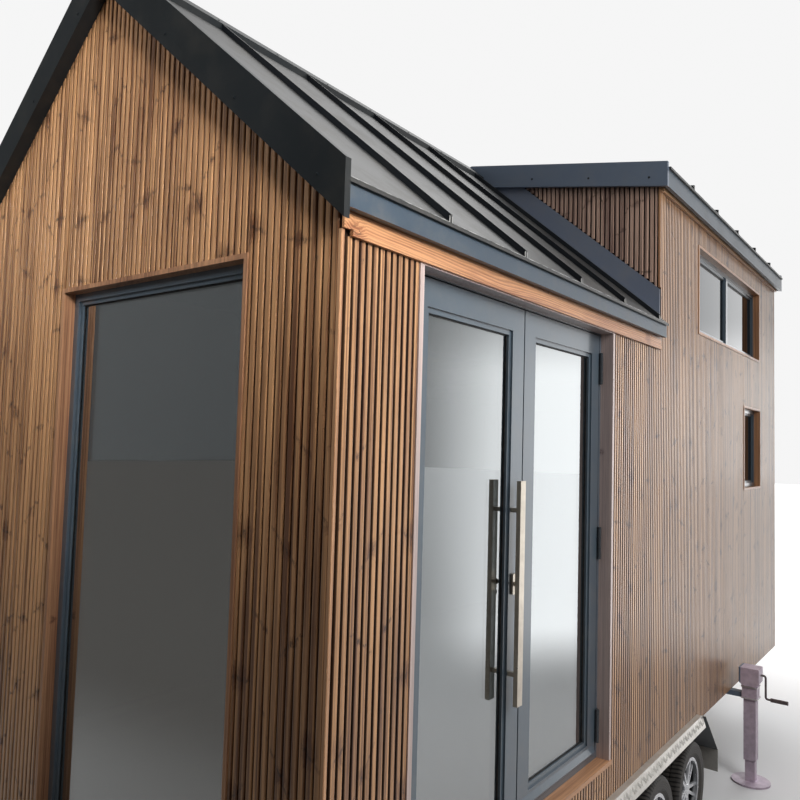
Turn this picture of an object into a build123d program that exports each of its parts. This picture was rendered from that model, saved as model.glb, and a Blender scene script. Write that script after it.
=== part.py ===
from build123d import *
import os
from math import radians, tan

# Tiny house on a three-axle trailer. Millimetres, +X from the glazed gable towards the
# tow coupling, +Y away from the door side, +Z up, ground at Z = 0.

# House body
body_length = 5610
body_width = 2380
wall_thickness = 150
main_roof_pitch = 40.7
dormer_roof_pitch = 10.4
dormer_length = 3037
gap = 0.3

# Roof sheets and edges
main_sheet_overhang = 46
dormer_sheet_overhang = 61
sheet_edge_rise = 138
sheet_thickness = 12
main_roof_depth = 85
dormer_ridge_rise = 18
dormer_roof_depth = 100
verge_overhang = 50
verge_thickness = 22
verge_height = 158
verge_upstand = 48
dormer_verge_overhang = 45
dormer_verge_height = 137
dormer_verge_upstand = 25
verge_end_reach = 50
main_fascia_projection = 36
dormer_fascia_projection = 50
fascia_thickness = 20
main_fascia_height = 70
dormer_fascia_height = 98

# Standing seams and ridge
seam_height = 28
seam_width = 10
main_seam_first = 450
main_seam_pitch = 495
dormer_seam_first = 417
dormer_seam_pitch = 535
ridge_cap_half_width = 90
ridge_cap_height = 30

# Eaves boards and cheek flashing
eaves_board_thickness = 8
lip_projection = 12
lip_height = 17
lip_over_head = 5
lip_start = 32
flashing_rise = 152
flashing_leg = 125
flashing_thickness = 8
cheek_top_gap = 20
cheek_meet = 150

# Floors, and the cladding's clearance over the tyres
tyre_clearance = 59
floor_over_cladding = 215
floor_thickness = 110
loft_floor_drop = 179
loft_floor_thickness = 120

# Timber trim round the openings
door_trim_thickness = 21
window_trim_thickness = 16
trim_projection = 4
trim_inset = 78

# Glazed double door
door_start = 354
door_width = 1566
door_sill_drop = 4
door_height = 1940
sill_projection = 8
frame_setback = 56
leaf_depth = 70
stop_depth = 15
stop_overlap = 12
jamb_width = 17
head_jamb_height = 5
stile_width = 100
meeting_stile_width = 107
top_rail_height = 110
bottom_rail_height = 69
door_bead_width = 18
door_bead_setback = 8
weather_rail_rise = 8
weather_rail_height = 30
weather_rail_nose = 6
weather_rail_projection = 12
weather_rail_end_gap = 25
meeting_gap = 8
frame_gap = 5
threshold_height = 24
pane_thickness = 24
hinge_radius = 9
hinge_length = 145
hinge_plate = 3
bottom_hinge_rise = 118
top_hinge_drop = 155
middle_hinge_rise = 940

# Pull handle and lock
handle_width = 38
handle_depth = 18
handle_length = 820
handle_rise = 833
handle_standoff = 30
handle_arm_spacing = 600
handle_arm_size = 16
handle_edge_distance = 75
lock_edge_distance = 52
lock_rise = 857
lock_plate_width = 34
lock_plate_height = 77
lock_plate_thickness = 8
lock_plate_corner = 6
lock_barrel_radius = 8.5
lock_barrel_reach = 13
door_glass_setback = 20

# Windows, the side ones placed from the rear corner
gable_window_start = 365
gable_window_width = 1038
gable_window_drop = 16
gable_window_height = 1956
gable_light_count = 1
upper_window_rear_margin = 601
upper_window_width = 1712
upper_window_drop = 155
upper_window_height = 559
upper_light_count = 2
lower_window_rear_margin = 572
lower_window_width = 553
lower_window_rise = 1130
lower_window_height = 625
lower_light_count = 1
window_frame_width = 42
window_frame_depth = 60
window_setback = 40
window_bead_width = 14
window_bead_setback = 10
mullion_width = 72
glass_thickness = 20

# Trailer frame and drawbar
rail_height = 110
rail_width = 60
rail_inset = 330
cross_member_height = 80
cross_member_width = 50
cross_member_count = 8
drawbar_reach = 1250
drawbar_lap = 650
drawbar_size = 70
coupling_width = 90
coupling_length = 240
coupling_radius = 38
coupling_plate = 60
coupling_lever = 32

# Wheels and axles
axle_pitch = 588
middle_axle = 2510
tyre_radius = 263
tyre_width = 195
rim_radius = 176
rim_wall = 6
tyre_face_projection = 30
axle_size = 70
stub_radius = 24
hub_radius = 46
hub_depth = 60
hub_cap_depth = 22
axle_end_gap = 8
bead_inset = 12
bead_height = 22
tyre_shoulder = 24
tyre_groove_width = 9
tyre_groove_depth = 7
tyre_groove_pitch = 38
tyre_groove_count = 3
rim_lip_depth = 12
rim_lip_height = 12
rim_lip_edge = 3
spoke_pair_count = 5
spoke_width = 17
spoke_root_spread = 11
spoke_tip_spread = 33
spoke_thickness = 22
hub_cap_radius = 30
hub_cap_step = 5

# Mudguards
guard_lap = 43
guard_projection = 30
guard_flare = 20
guard_drop = 57
guard_thickness = 3
guard_flat_reach = 199
guard_slope_run = 267
guard_slope_drop = 272
guard_flap_drop = 131
guard_width = 215

# Corner jacks
jack_rear = 4123
jack_front = 190
jack_projection = 124
jack_head_size = 125
jack_head_height = 118
jack_head_rise = 88
jack_head_chamfer = 22
jack_tube_size = 76
jack_tube_wall = 7
jack_tube_length = 491
jack_sleeve_size = 92
jack_sleeve_height = 84
jack_sleeve_drop = 28
jack_ring_size = 102
jack_ring_height = 8
jack_arm_width = 60
jack_arm_height = 32
jack_leg_clearance = 0.5
jack_travel = 130
jack_travel_clearance = 15
jack_leg_wall = 5
foot_radius = 120
foot_thickness = 12
crank_below_top = 45
crank_shaft = 30
crank_arm = 150
crank_radius = 7
crank_grip = 105
crank_grip_radius = 13

os.makedirs("parts", exist_ok=True)

half_width = body_width / 2
inner_half = half_width - wall_thickness
overall_length = verge_overhang + body_length + drawbar_reach
front = -overall_length / 2 + verge_overhang
rear = front + body_length
dormer_front = rear - dormer_length
main_slope = tan(radians(main_roof_pitch))
dormer_slope = tan(radians(dormer_roof_pitch))

# Heights, from the tyres up to the ridges
cladding_base = 2 * tyre_radius + tyre_clearance
floor_top = cladding_base + floor_over_cladding
door_sill_height = floor_top - door_sill_drop
door_head_height = door_sill_height + door_height
lip_base = door_head_height + lip_over_head
sheet_edge_height = lip_base + sheet_edge_rise
loft_floor_top = sheet_edge_height - loft_floor_drop
main_ridge_height = sheet_edge_height + main_slope * (half_width + main_sheet_overhang)
dormer_ridge_height = main_ridge_height + dormer_ridge_rise


def main_roof(distance):
    """Height of the main roof surface at a distance from the ridge line."""
    return main_ridge_height - main_slope * distance


def dormer_roof(distance):
    """Height of the dormer roof surface at a distance from the ridge line."""
    return dormer_ridge_height - dormer_slope * distance


def save(part, name):
    """Labels a finished piece and writes it to its own file."""
    part.label = name
    export_step(part, f"parts/{name}.step")


def block(x0, x1, y0, y1, z0, z1, mode=Mode.ADD):
    """Adds a squared piece between its corners, or cuts a squared hole."""
    with Locations(((x0 + x1) / 2, (y0 + y1) / 2, (z0 + z1) / 2)):
        Box(abs(x1 - x0), abs(y1 - y0), abs(z1 - z0), mode=mode)


def outline(points, mode=Mode.ADD):
    """Draws a filled outline from its corners, or cuts it away."""
    Polygon(*points, align=None, mode=mode)


# Trailer frame: two long rails under the floor with cross members between them
rail_top = floor_top - floor_thickness
rail_base = rail_top - rail_height
with BuildPart() as chassis_rails:
    for side in (-1, 1):
        rail_y = side * (half_width - rail_inset)
        block(front + wall_thickness, rear - wall_thickness, rail_y - rail_width / 2,
              rail_y + rail_width / 2, rail_base, rail_top)
save(chassis_rails.part, "chassis_rails")

with BuildPart() as cross_members:
    member_reach = half_width - rail_inset - rail_width / 2
    first_member = front + wall_thickness + cross_member_width / 2
    member_step = (body_length - 2 * wall_thickness - cross_member_width) / (cross_member_count - 1)
    for index in range(cross_member_count):
        member_x = first_member + index * member_step
        block(member_x - cross_member_width / 2, member_x + cross_member_width / 2,
              -member_reach, member_reach, rail_top - cross_member_height, rail_top)
save(cross_members.part, "cross_members")

# Drawbar: two beams under the rails that run in to the coupling, and the coupling head
nose = rear + drawbar_reach
rail_line = half_width - rail_inset
plate_start = nose - coupling_length
beam_top = rail_base
beam_base = beam_top - drawbar_size
beam_end = coupling_width / 2 + drawbar_size / 2 + gap
with BuildPart() as drawbar:
    with BuildSketch(Plane.XY.offset(beam_base)):
        for side in (-1, 1):
            outline([(rear - drawbar_lap, side * (rail_line - drawbar_size / 2)),
                     (plate_start, side * (beam_end - drawbar_size / 2)),
                     (plate_start + coupling_plate, side * (beam_end - drawbar_size / 2)),
                     (plate_start + coupling_plate, side * (beam_end + drawbar_size / 2)),
                     (plate_start, side * (beam_end + drawbar_size / 2)),
                     (rear - drawbar_lap, side * (rail_line + drawbar_size / 2))])
    extrude(amount=drawbar_size)
save(drawbar.part, "drawbar")

with BuildPart() as coupling_head:
    block(plate_start, nose - coupling_radius, -coupling_width / 2, coupling_width / 2,
          beam_base, beam_top)
    with Locations((nose - coupling_radius, 0, (beam_base + beam_top) / 2)):
        Cylinder(coupling_radius, drawbar_size)
    block(plate_start, nose - 2 * coupling_radius, -coupling_lever / 2, coupling_lever / 2,
          beam_top, beam_top + coupling_lever)
save(coupling_head.part, "coupling_head")

# Axles: three square beams hung under the rails, with a round stub for each wheel hub
axle_places = [front + middle_axle + step * axle_pitch for step in (-1, 0, 1)]
wheel_outer = half_width + tyre_face_projection
wheel_inner = wheel_outer - tyre_width
stub_end = wheel_outer - 2 * hub_cap_depth
with BuildPart() as axles:
    for axle_x in axle_places:
        block(axle_x - axle_size / 2, axle_x + axle_size / 2, -wheel_inner + axle_end_gap,
              wheel_inner - axle_end_gap, tyre_radius - axle_size / 2, tyre_radius + axle_size / 2)
        for side in (-1, 1):
            block(axle_x - axle_size / 2, axle_x + axle_size / 2, side * rail_line - rail_width / 2,
                  side * rail_line + rail_width / 2, tyre_radius, rail_base)
        with BuildSketch(Plane.XZ.offset(-stub_end)):
            with Locations((axle_x, tyre_radius)):
                Circle(stub_radius)
        extrude(amount=2 * stub_end)
save(axles.part, "axles")

# Wheels: a moulded tyre with tread grooves, and an alloy rim with a lip, paired spokes and a
# hub cap, that turns on the stub
hub_outer = wheel_outer - hub_cap_depth
tread_middle = wheel_outer - tyre_width / 2
for row, axle_x in zip(("front", "middle", "rear"), axle_places):
    axle_line = Axis((axle_x, 0, tyre_radius), (0, 1, 0))
    section = Plane(origin=(axle_x, 0, tyre_radius), x_dir=(0, 1, 0), z_dir=(1, 0, 0))
    for side_name, side in (("near", -1), ("far", 1)):
        with BuildPart() as tyre:
            with BuildSketch(section) as tyre_section:
                outline([(side * (wheel_inner + bead_inset), rim_radius),
                         (side * wheel_inner, rim_radius + bead_height),
                         (side * wheel_inner, tyre_radius), (side * wheel_outer, tyre_radius),
                         (side * wheel_outer, rim_radius + bead_height),
                         (side * (wheel_outer - bead_inset), rim_radius)])
                fillet(tyre_section.vertices().group_by(Axis.Y)[-1], tyre_shoulder)
                with Locations((side * tread_middle, tyre_radius - tyre_groove_depth / 2)):
                    with GridLocations(tyre_groove_pitch, 0, tyre_groove_count, 1):
                        Rectangle(tyre_groove_width, tyre_groove_depth, mode=Mode.SUBTRACT)
            revolve(axis=axle_line)
        save(tyre.part, f"{row}_{side_name}_tyre")

        with BuildPart() as rim:
            with BuildSketch(section):
                outline([(side * (wheel_inner + bead_inset), rim_radius - rim_wall),
                         (side * (wheel_inner + bead_inset), rim_radius),
                         (side * (wheel_outer - bead_inset), rim_radius),
                         (side * (wheel_outer - bead_inset), rim_radius - rim_wall - rim_lip_height),
                         (side * (wheel_outer - bead_inset - rim_lip_edge),
                          rim_radius - rim_wall - rim_lip_height),
                         (side * (wheel_outer - bead_inset - rim_lip_depth), rim_radius - rim_wall)])
                outline([(side * (hub_outer - hub_depth), stub_radius + gap),
                         (side * (hub_outer - hub_depth), hub_radius),
                         (side * (hub_outer - hub_cap_step), hub_radius),
                         (side * (hub_outer - hub_cap_step), hub_cap_radius),
                         (side * hub_outer, hub_cap_radius - hub_cap_step),
                         (side * hub_outer, 0),
                         (side * (stub_end + 2 * gap), 0),
                         (side * (stub_end + 2 * gap), stub_radius + gap)])
            revolve(axis=axle_line)
            spoke_plane = Plane(origin=(axle_x, side * (hub_outer - spoke_thickness), tyre_radius),
                                x_dir=(side, 0, 0), z_dir=(0, side, 0))
            with BuildSketch(spoke_plane):
                with PolarLocations(0, spoke_pair_count, start_angle=90):
                    for hand in (-1, 1):
                        outline([(hub_cap_radius, hand * spoke_root_spread - spoke_width / 2),
                                 (rim_radius, hand * spoke_tip_spread - spoke_width / 2),
                                 (rim_radius, hand * spoke_tip_spread + spoke_width / 2),
                                 (hub_cap_radius, hand * spoke_root_spread + spoke_width / 2)])
                Circle(rim_radius - rim_wall / 2, mode=Mode.INTERSECT)
            extrude(amount=spoke_thickness - hub_cap_step)
        save(rim.part, f"{row}_{side_name}_rim")

# Mudguards: folded chequer plate along the cladding, with a sloped end and a flap behind
guard_outer = half_width + guard_projection + guard_flare
guard_inner = guard_outer - guard_width
guard_middle = front + middle_axle
guard_top = cladding_base + guard_lap
guard_low = guard_top - guard_drop
guard_flat_half = axle_pitch + guard_flat_reach
with BuildPart() as mudguards:
    for side in (-1, 1):
        with BuildSketch(Plane.YZ.offset(guard_middle - guard_flat_half)):
            outline([(side * half_width, guard_top),
                     (side * (half_width + guard_projection), guard_top),
                     (side * guard_outer, guard_low),
                     (side * guard_inner, guard_low),
                     (side * guard_inner, guard_low - guard_thickness),
                     (side * (guard_outer + guard_thickness), guard_low - guard_thickness),
                     (side * (half_width + guard_projection + guard_thickness),
                      guard_top + guard_thickness),
                     (side * half_width, guard_top + guard_thickness)])
        extrude(amount=2 * guard_flat_half)
        for end in (-1, 1):
            with BuildSketch(Plane.XZ.offset(-side * guard_inner)):
                flat_end = guard_middle + end * guard_flat_half
                slope_end = flat_end + end * guard_slope_run
                outline([(flat_end, guard_top + guard_thickness),
                         (slope_end + end * guard_thickness, guard_top - guard_slope_drop),
                         (slope_end + end * guard_thickness,
                          guard_top - guard_slope_drop - guard_flap_drop),
                         (slope_end, guard_top - guard_slope_drop - guard_flap_drop),
                         (slope_end, guard_top - guard_slope_drop),
                         (flat_end - end * guard_thickness, guard_top)])
            extrude(amount=-side * (guard_width + guard_thickness))
        block(front, rear, side * half_width, side * (guard_inner - guard_thickness),
              guard_low, guard_top + 2 * guard_thickness, mode=Mode.SUBTRACT)
save(mudguards.part, "mudguards")

# Floor: an insulated deck between the walls
with BuildPart() as floor:
    block(front + wall_thickness, rear - wall_thickness, -inner_half, inner_half,
          floor_top - floor_thickness, floor_top)
save(floor.part, "floor")

# Glazed gable wall: full height to the main roof, with one tall window
gable_first = -half_width + gable_window_start
gable_window_base = floor_top - gable_window_drop
with BuildPart() as front_gable_wall:
    with BuildSketch(Plane.YZ.offset(front)):
        outline([(-half_width, cladding_base), (half_width, cladding_base),
                 (half_width, main_roof(half_width) - main_roof_depth),
                 (0, main_roof(0) - main_roof_depth),
                 (-half_width, main_roof(half_width) - main_roof_depth)])
    extrude(amount=wall_thickness)
    block(front, front + wall_thickness, gable_first, gable_first + gable_window_width,
          gable_window_base, gable_window_base + gable_window_height, mode=Mode.SUBTRACT)
save(front_gable_wall.part, "front_gable_wall")

# Rear gable wall: full width, up to the shallow dormer roofs
with BuildPart() as rear_gable_wall:
    with BuildSketch(Plane.YZ.offset(rear - wall_thickness)):
        outline([(-half_width, cladding_base), (half_width, cladding_base),
                 (half_width, dormer_roof(half_width) - dormer_roof_depth),
                 (0, dormer_roof(0) - dormer_roof_depth),
                 (-half_width, dormer_roof(half_width) - dormer_roof_depth)])
    extrude(amount=wall_thickness)
save(rear_gable_wall.part, "rear_gable_wall")


def eaves_wall(side, roof, depth, base):
    """Corner points of a long wall's section, from its base to the underside of a roof."""
    return [(side * half_width, base), (side * inner_half, base),
            (side * inner_half, roof(inner_half) - depth), (side * half_width, roof(half_width) - depth)]


# Door-side wall: a strip before the door, one over it, one under it and the long part behind
door_first = front + door_start
door_last = door_first + door_width
sill_base = door_sill_height - door_trim_thickness
head_top = door_head_height + door_trim_thickness
with BuildPart() as near_wall_front:
    with BuildSketch(Plane.YZ.offset(front + wall_thickness)):
        outline(eaves_wall(-1, main_roof, main_roof_depth, cladding_base))
    extrude(amount=door_start - wall_thickness)
save(near_wall_front.part, "near_wall_front")

with BuildPart() as near_wall_over_door:
    with BuildSketch(Plane.YZ.offset(door_first)):
        outline(eaves_wall(-1, main_roof, main_roof_depth, head_top))
    extrude(amount=door_width)
save(near_wall_over_door.part, "near_wall_over_door")

with BuildPart() as near_wall_under_door:
    block(door_first, door_last, -half_width, -inner_half, cladding_base, sill_base)
save(near_wall_under_door.part, "near_wall_under_door")


# Side windows: first and last X, base and top, and the number of lights
upper_last = rear - upper_window_rear_margin
upper_top = dormer_roof(half_width) - dormer_roof_depth - upper_window_drop
lower_last = rear - lower_window_rear_margin
lower_base = floor_top + lower_window_rise
side_windows = ((upper_last - upper_window_width, upper_last, upper_top - upper_window_height,
                 upper_top, upper_light_count),
                (lower_last - lower_window_width, lower_last, lower_base,
                 lower_base + lower_window_height, lower_light_count))


def window_holes(side):
    """Cuts the loft window and the low window through a long wall."""
    for first, last, base, top, lights in side_windows:
        block(first, last, side * half_width, side * inner_half, base, top, mode=Mode.SUBTRACT)


with BuildPart() as near_wall_rear:
    with BuildSketch(Plane.YZ.offset(door_last)):
        outline(eaves_wall(-1, main_roof, main_roof_depth, cladding_base))
    extrude(amount=dormer_front - door_last)
    with BuildSketch(Plane.YZ.offset(dormer_front)):
        outline(eaves_wall(-1, dormer_roof, dormer_roof_depth, cladding_base))
    extrude(amount=rear - wall_thickness - dormer_front)
    window_holes(-1)
save(near_wall_rear.part, "near_wall_rear")

# Far wall: the same heights and windows, with no door
with BuildPart() as far_wall:
    with BuildSketch(Plane.YZ.offset(front + wall_thickness)):
        outline(eaves_wall(1, main_roof, main_roof_depth, cladding_base))
    extrude(amount=dormer_front - front - wall_thickness)
    with BuildSketch(Plane.YZ.offset(dormer_front)):
        outline(eaves_wall(1, dormer_roof, dormer_roof_depth, cladding_base))
    extrude(amount=rear - wall_thickness - dormer_front)
    window_holes(1)
save(far_wall.part, "far_wall")

# Dormer cheeks: the clad triangles between the main roof and the dormer roofs
with BuildPart() as dormer_cheeks:
    with BuildSketch(Plane.YZ.offset(dormer_front)):
        for side in (-1, 1):
            outline([(side * inner_half, main_roof(inner_half) - main_roof_depth),
                     (side * cheek_top_gap, main_roof(cheek_top_gap) - main_roof_depth),
                     (side * cheek_top_gap, dormer_roof(cheek_top_gap) - dormer_roof_depth),
                     (side * inner_half, dormer_roof(inner_half) - dormer_roof_depth)])
    extrude(amount=wall_thickness)
save(dormer_cheeks.part, "dormer_cheeks")

# Loft floor between the long walls, behind the cheeks
with BuildPart() as loft_floor:
    block(dormer_front, rear - wall_thickness, -inner_half, inner_half,
          loft_floor_top - loft_floor_thickness, loft_floor_top)
save(loft_floor.part, "loft_floor")


def roof_section(side, roof, depth, overhang, projection):
    """Section of one roof slope with its thin drip edge over the eaves fascia."""
    edge = half_width + overhang
    deck = half_width + projection - fascia_thickness
    return [(0, roof(0)), (side * edge, roof(edge)), (side * edge, roof(edge) - sheet_thickness),
            (side * deck, roof(deck) - sheet_thickness), (side * deck, roof(deck) - depth),
            (0, roof(0) - depth)]


def seam_section(side, roof, overhang):
    """Section of a standing seam, cut square at the drip edge and reaching up to the ridge cap."""
    edge = half_width + overhang
    return [(side * ridge_cap_half_width, roof(ridge_cap_half_width) - sheet_thickness),
            (side * ridge_cap_half_width, roof(ridge_cap_half_width) + seam_height),
            (side * edge, roof(edge) + seam_height), (side * edge, roof(edge) - sheet_thickness)]


# Main roof: two standing-seam slopes from the glazed gable to the dormer cheeks
main_roof_start = front - verge_overhang + verge_thickness
main_seam_run = dormer_front - front - flashing_leg - main_seam_first
main_seam_count = int(main_seam_run // main_seam_pitch) + 1
for side_name, side in (("near", -1), ("far", 1)):
    with BuildPart() as main_slope_part:
        with BuildSketch(Plane.YZ.offset(main_roof_start)):
            outline(roof_section(side, main_roof, main_roof_depth, main_sheet_overhang,
                                 main_fascia_projection))
        extrude(amount=dormer_front - main_roof_start)
        for index in range(main_seam_count):
            seam_x = front + main_seam_first + index * main_seam_pitch
            with BuildSketch(Plane.YZ.offset(seam_x - seam_width / 2)):
                outline(seam_section(side, main_roof, main_sheet_overhang))
            extrude(amount=seam_width)
    save(main_slope_part.part, f"main_roof_{side_name}")

# Dormer roofs: two shallow standing-seam slopes to the rear gable
dormer_roof_start = dormer_front - dormer_verge_overhang + verge_thickness
dormer_roof_end = rear + verge_overhang - verge_thickness
dormer_seam_count = int((dormer_length - dormer_seam_first) // dormer_seam_pitch) + 1
for side_name, side in (("near", -1), ("far", 1)):
    with BuildPart() as dormer_slope_part:
        with BuildSketch(Plane.YZ.offset(dormer_roof_start)):
            outline(roof_section(side, dormer_roof, dormer_roof_depth, dormer_sheet_overhang,
                                 dormer_fascia_projection))
        extrude(amount=dormer_roof_end - dormer_roof_start)
        for index in range(dormer_seam_count):
            seam_x = dormer_front + dormer_seam_first + index * dormer_seam_pitch
            with BuildSketch(Plane.YZ.offset(seam_x - seam_width / 2)):
                outline(seam_section(side, dormer_roof, dormer_sheet_overhang))
            extrude(amount=seam_width)
        with BuildSketch(Plane.YZ.offset(dormer_roof_start)):
            outline([(0, main_roof(0) + gap), (side * cheek_meet, main_roof(cheek_meet) + gap),
                     (side * cheek_meet, dormer_ridge_height - 2 * dormer_roof_depth),
                     (0, dormer_ridge_height - 2 * dormer_roof_depth)])
        extrude(amount=dormer_front - dormer_roof_start, mode=Mode.SUBTRACT)
    save(dormer_slope_part.part, f"dormer_roof_{side_name}")


def cap_section(roof):
    """Section of a folded ridge cap that sits on both slopes."""
    reach = ridge_cap_half_width
    return [(-reach, roof(reach)), (0, roof(0)), (reach, roof(reach)),
            (reach, roof(reach) + ridge_cap_height), (0, roof(0) + ridge_cap_height),
            (-reach, roof(reach) + ridge_cap_height)]


# Ridge caps over both ridges, the lower one ending at the dormer verge board
with BuildPart() as ridge_caps:
    with BuildSketch(Plane.YZ.offset(main_roof_start)):
        outline(cap_section(main_roof))
    extrude(amount=dormer_front - dormer_verge_overhang - gap - main_roof_start)
    with BuildSketch(Plane.YZ.offset(dormer_roof_start)):
        outline(cap_section(dormer_roof))
    extrude(amount=dormer_roof_end - dormer_roof_start)
save(ridge_caps.part, "ridge_caps")


def verge_band(roof, top, bottom, reach):
    """Corner points of a mitred pair of verge boards that follow a roof on both sides."""
    return [(-reach, roof(reach) + top), (0, roof(0) + top), (reach, roof(reach) + top),
            (reach, roof(reach) + bottom), (0, roof(0) + bottom), (-reach, roof(reach) + bottom)]


# Verge boards on the glazed gable, with the return that closes them to the wall
verge_reach = half_width + verge_end_reach
verge_low = verge_upstand - verge_height
main_fascia_front = half_width + main_fascia_projection
main_fascia_back = main_fascia_front - fascia_thickness
with BuildPart() as front_verge_boards:
    with BuildSketch(Plane.YZ.offset(front - verge_overhang)):
        outline(verge_band(main_roof, verge_upstand, verge_low, verge_reach))
    extrude(amount=verge_thickness)
    with BuildSketch(Plane.YZ.offset(front - verge_overhang + verge_thickness)):
        outline(verge_band(main_roof, -main_roof_depth, verge_low, main_fascia_back))
    extrude(amount=verge_overhang - verge_thickness)
save(front_verge_boards.part, "front_verge_boards")

# Verge boards at both ends of the dormer roofs
dormer_verge_low = dormer_verge_upstand - dormer_verge_height
with BuildPart() as dormer_verge_boards:
    with BuildSketch(Plane.YZ.offset(dormer_front - dormer_verge_overhang)):
        outline(verge_band(dormer_roof, dormer_verge_upstand, dormer_verge_low, verge_reach))
        outline([(-verge_reach, main_roof(verge_reach) + flashing_thickness + gap),
                 (0, main_roof(0) + flashing_thickness + gap),
                 (verge_reach, main_roof(verge_reach) + flashing_thickness + gap),
                 (verge_reach, cladding_base), (-verge_reach, cladding_base)], mode=Mode.SUBTRACT)
    extrude(amount=verge_thickness)
    with BuildSketch(Plane.YZ.offset(rear + verge_overhang - verge_thickness)):
        outline(verge_band(dormer_roof, dormer_verge_upstand, dormer_verge_low, verge_reach))
    extrude(amount=verge_thickness)
save(dormer_verge_boards.part, "dormer_verge_boards")

# Eaves fascias under the drip edges
dormer_fascia_front = half_width + dormer_fascia_projection
dormer_fascia_back = dormer_fascia_front - fascia_thickness
main_fascia_top = main_roof(main_fascia_front) - sheet_thickness - gap
dormer_fascia_top = dormer_roof(dormer_fascia_front) - sheet_thickness - gap
with BuildPart() as eaves_fascias:
    for side in (-1, 1):
        block(main_roof_start, dormer_front - gap, side * main_fascia_back,
              side * main_fascia_front, main_fascia_top - main_fascia_height, main_fascia_top)
        block(dormer_roof_start, dormer_roof_end, side * dormer_fascia_back,
              side * dormer_fascia_front, dormer_fascia_top - dormer_fascia_height,
              dormer_fascia_top)
save(eaves_fascias.part, "eaves_fascias")

# Timber eaves boards with a lip over the slats and the door head
lip_top = lip_base + lip_height
board_top = main_roof(main_fascia_back) - main_roof_depth - gap
with BuildPart() as eaves_boards:
    for side in (-1, 1):
        block(front, dormer_front - gap, side * half_width, side * (half_width + eaves_board_thickness),
              lip_top, board_top)
        block(front + lip_start, dormer_front - gap, side * half_width,
              side * (half_width + lip_projection), lip_base, lip_top)
save(eaves_boards.part, "eaves_boards")

# Cheek flashings: a wide upstand on each cheek and a leg on the roof sheet
band_end = (main_roof(0) + flashing_rise - dormer_roof(0) + dormer_roof_depth) / (
    main_slope - dormer_slope)
with BuildPart() as cheek_flashings:
    for side in (-1, 1):
        with BuildSketch(Plane.YZ.offset(dormer_front - flashing_thickness)):
            outline([(side * half_width, main_roof(half_width)),
                     (side * half_width, main_roof(half_width) + flashing_rise),
                     (side * band_end, main_roof(band_end) + flashing_rise),
                     (side * cheek_meet, dormer_roof(cheek_meet) - dormer_roof_depth - gap),
                     (side * cheek_meet, main_roof(cheek_meet))])
        extrude(amount=flashing_thickness)
        with BuildSketch(Plane.YZ.offset(dormer_front - flashing_leg)):
            outline([(side * half_width, main_roof(half_width)),
                     (side * half_width, main_roof(half_width) + flashing_thickness),
                     (side * cheek_meet, main_roof(cheek_meet) + flashing_thickness),
                     (side * cheek_meet, main_roof(cheek_meet))])
        extrude(amount=flashing_leg)
save(cheek_flashings.part, "cheek_flashings")

# Door trim: a lining board each side and one across their tops, under the eaves lip
wall_face = -half_width
frame_first = door_first + door_trim_thickness
frame_last = door_last - door_trim_thickness
with BuildPart() as door_trim:
    for outer, inner in ((door_first, frame_first), (door_last, frame_last)):
        block(outer, inner, wall_face - trim_projection, wall_face + trim_inset,
              door_sill_height, door_head_height - gap)
    block(door_first, door_last, wall_face, wall_face + trim_inset, door_head_height, head_top)
    block(door_first, door_last, wall_face - trim_projection, wall_face,
          door_head_height, lip_base)
save(door_trim.part, "door_trim")

with BuildPart() as door_sill:
    block(door_first, door_last, wall_face - sill_projection, wall_face + trim_inset,
          sill_base, door_sill_height)
save(door_sill.part, "door_sill")

# Door frame: jambs, head and threshold, with a stop that the leaves close against
frame_face = wall_face + frame_setback
frame_back = frame_face + leaf_depth + frame_gap + stop_depth
leaf_base = door_sill_height + threshold_height + frame_gap
head_jamb_base = door_head_height - head_jamb_height
leaf_top = head_jamb_base - frame_gap
with BuildPart() as door_frame:
    block(door_first, door_last, wall_face + trim_inset, frame_back, sill_base, head_top)
    block(frame_first, frame_last, frame_face, wall_face + trim_inset, door_sill_height,
          door_head_height)
    block(frame_first + jamb_width, frame_last - jamb_width, frame_face, frame_back - stop_depth,
          door_sill_height + threshold_height, head_jamb_base, mode=Mode.SUBTRACT)
    block(frame_first + jamb_width + stop_overlap + frame_gap,
          frame_last - jamb_width - stop_overlap - frame_gap, frame_face, frame_back,
          door_sill_height + threshold_height, head_jamb_base - stop_overlap,
          mode=Mode.SUBTRACT)
save(door_frame.part, "door_frame")

# Door hinges: three barrels each side on plates screwed to the jambs
hinge_line = frame_face - hinge_radius - gap
hinge_places = (frame_first + jamb_width + frame_gap / 2, frame_last - jamb_width - frame_gap / 2)
hinge_heights = (leaf_base + bottom_hinge_rise, leaf_base + middle_hinge_rise, leaf_top - top_hinge_drop)
with BuildPart() as door_hinges:
    for hinge_x, plate_end in zip(hinge_places, (frame_first, frame_last)):
        for height in hinge_heights:
            with BuildSketch(Plane.XY.offset(height - hinge_length / 2)):
                with Locations((hinge_x, hinge_line)):
                    Circle(hinge_radius)
            extrude(amount=hinge_length)
            block(hinge_x, plate_end, frame_face - hinge_plate, frame_face,
                  height - hinge_length / 2, height + hinge_length / 2)
            block(hinge_x, hinge_x + (plate_end - hinge_x) / 3, hinge_line, frame_face,
                  height - hinge_length / 2, height + hinge_length / 2)
save(door_hinges.part, "door_hinges")

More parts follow.
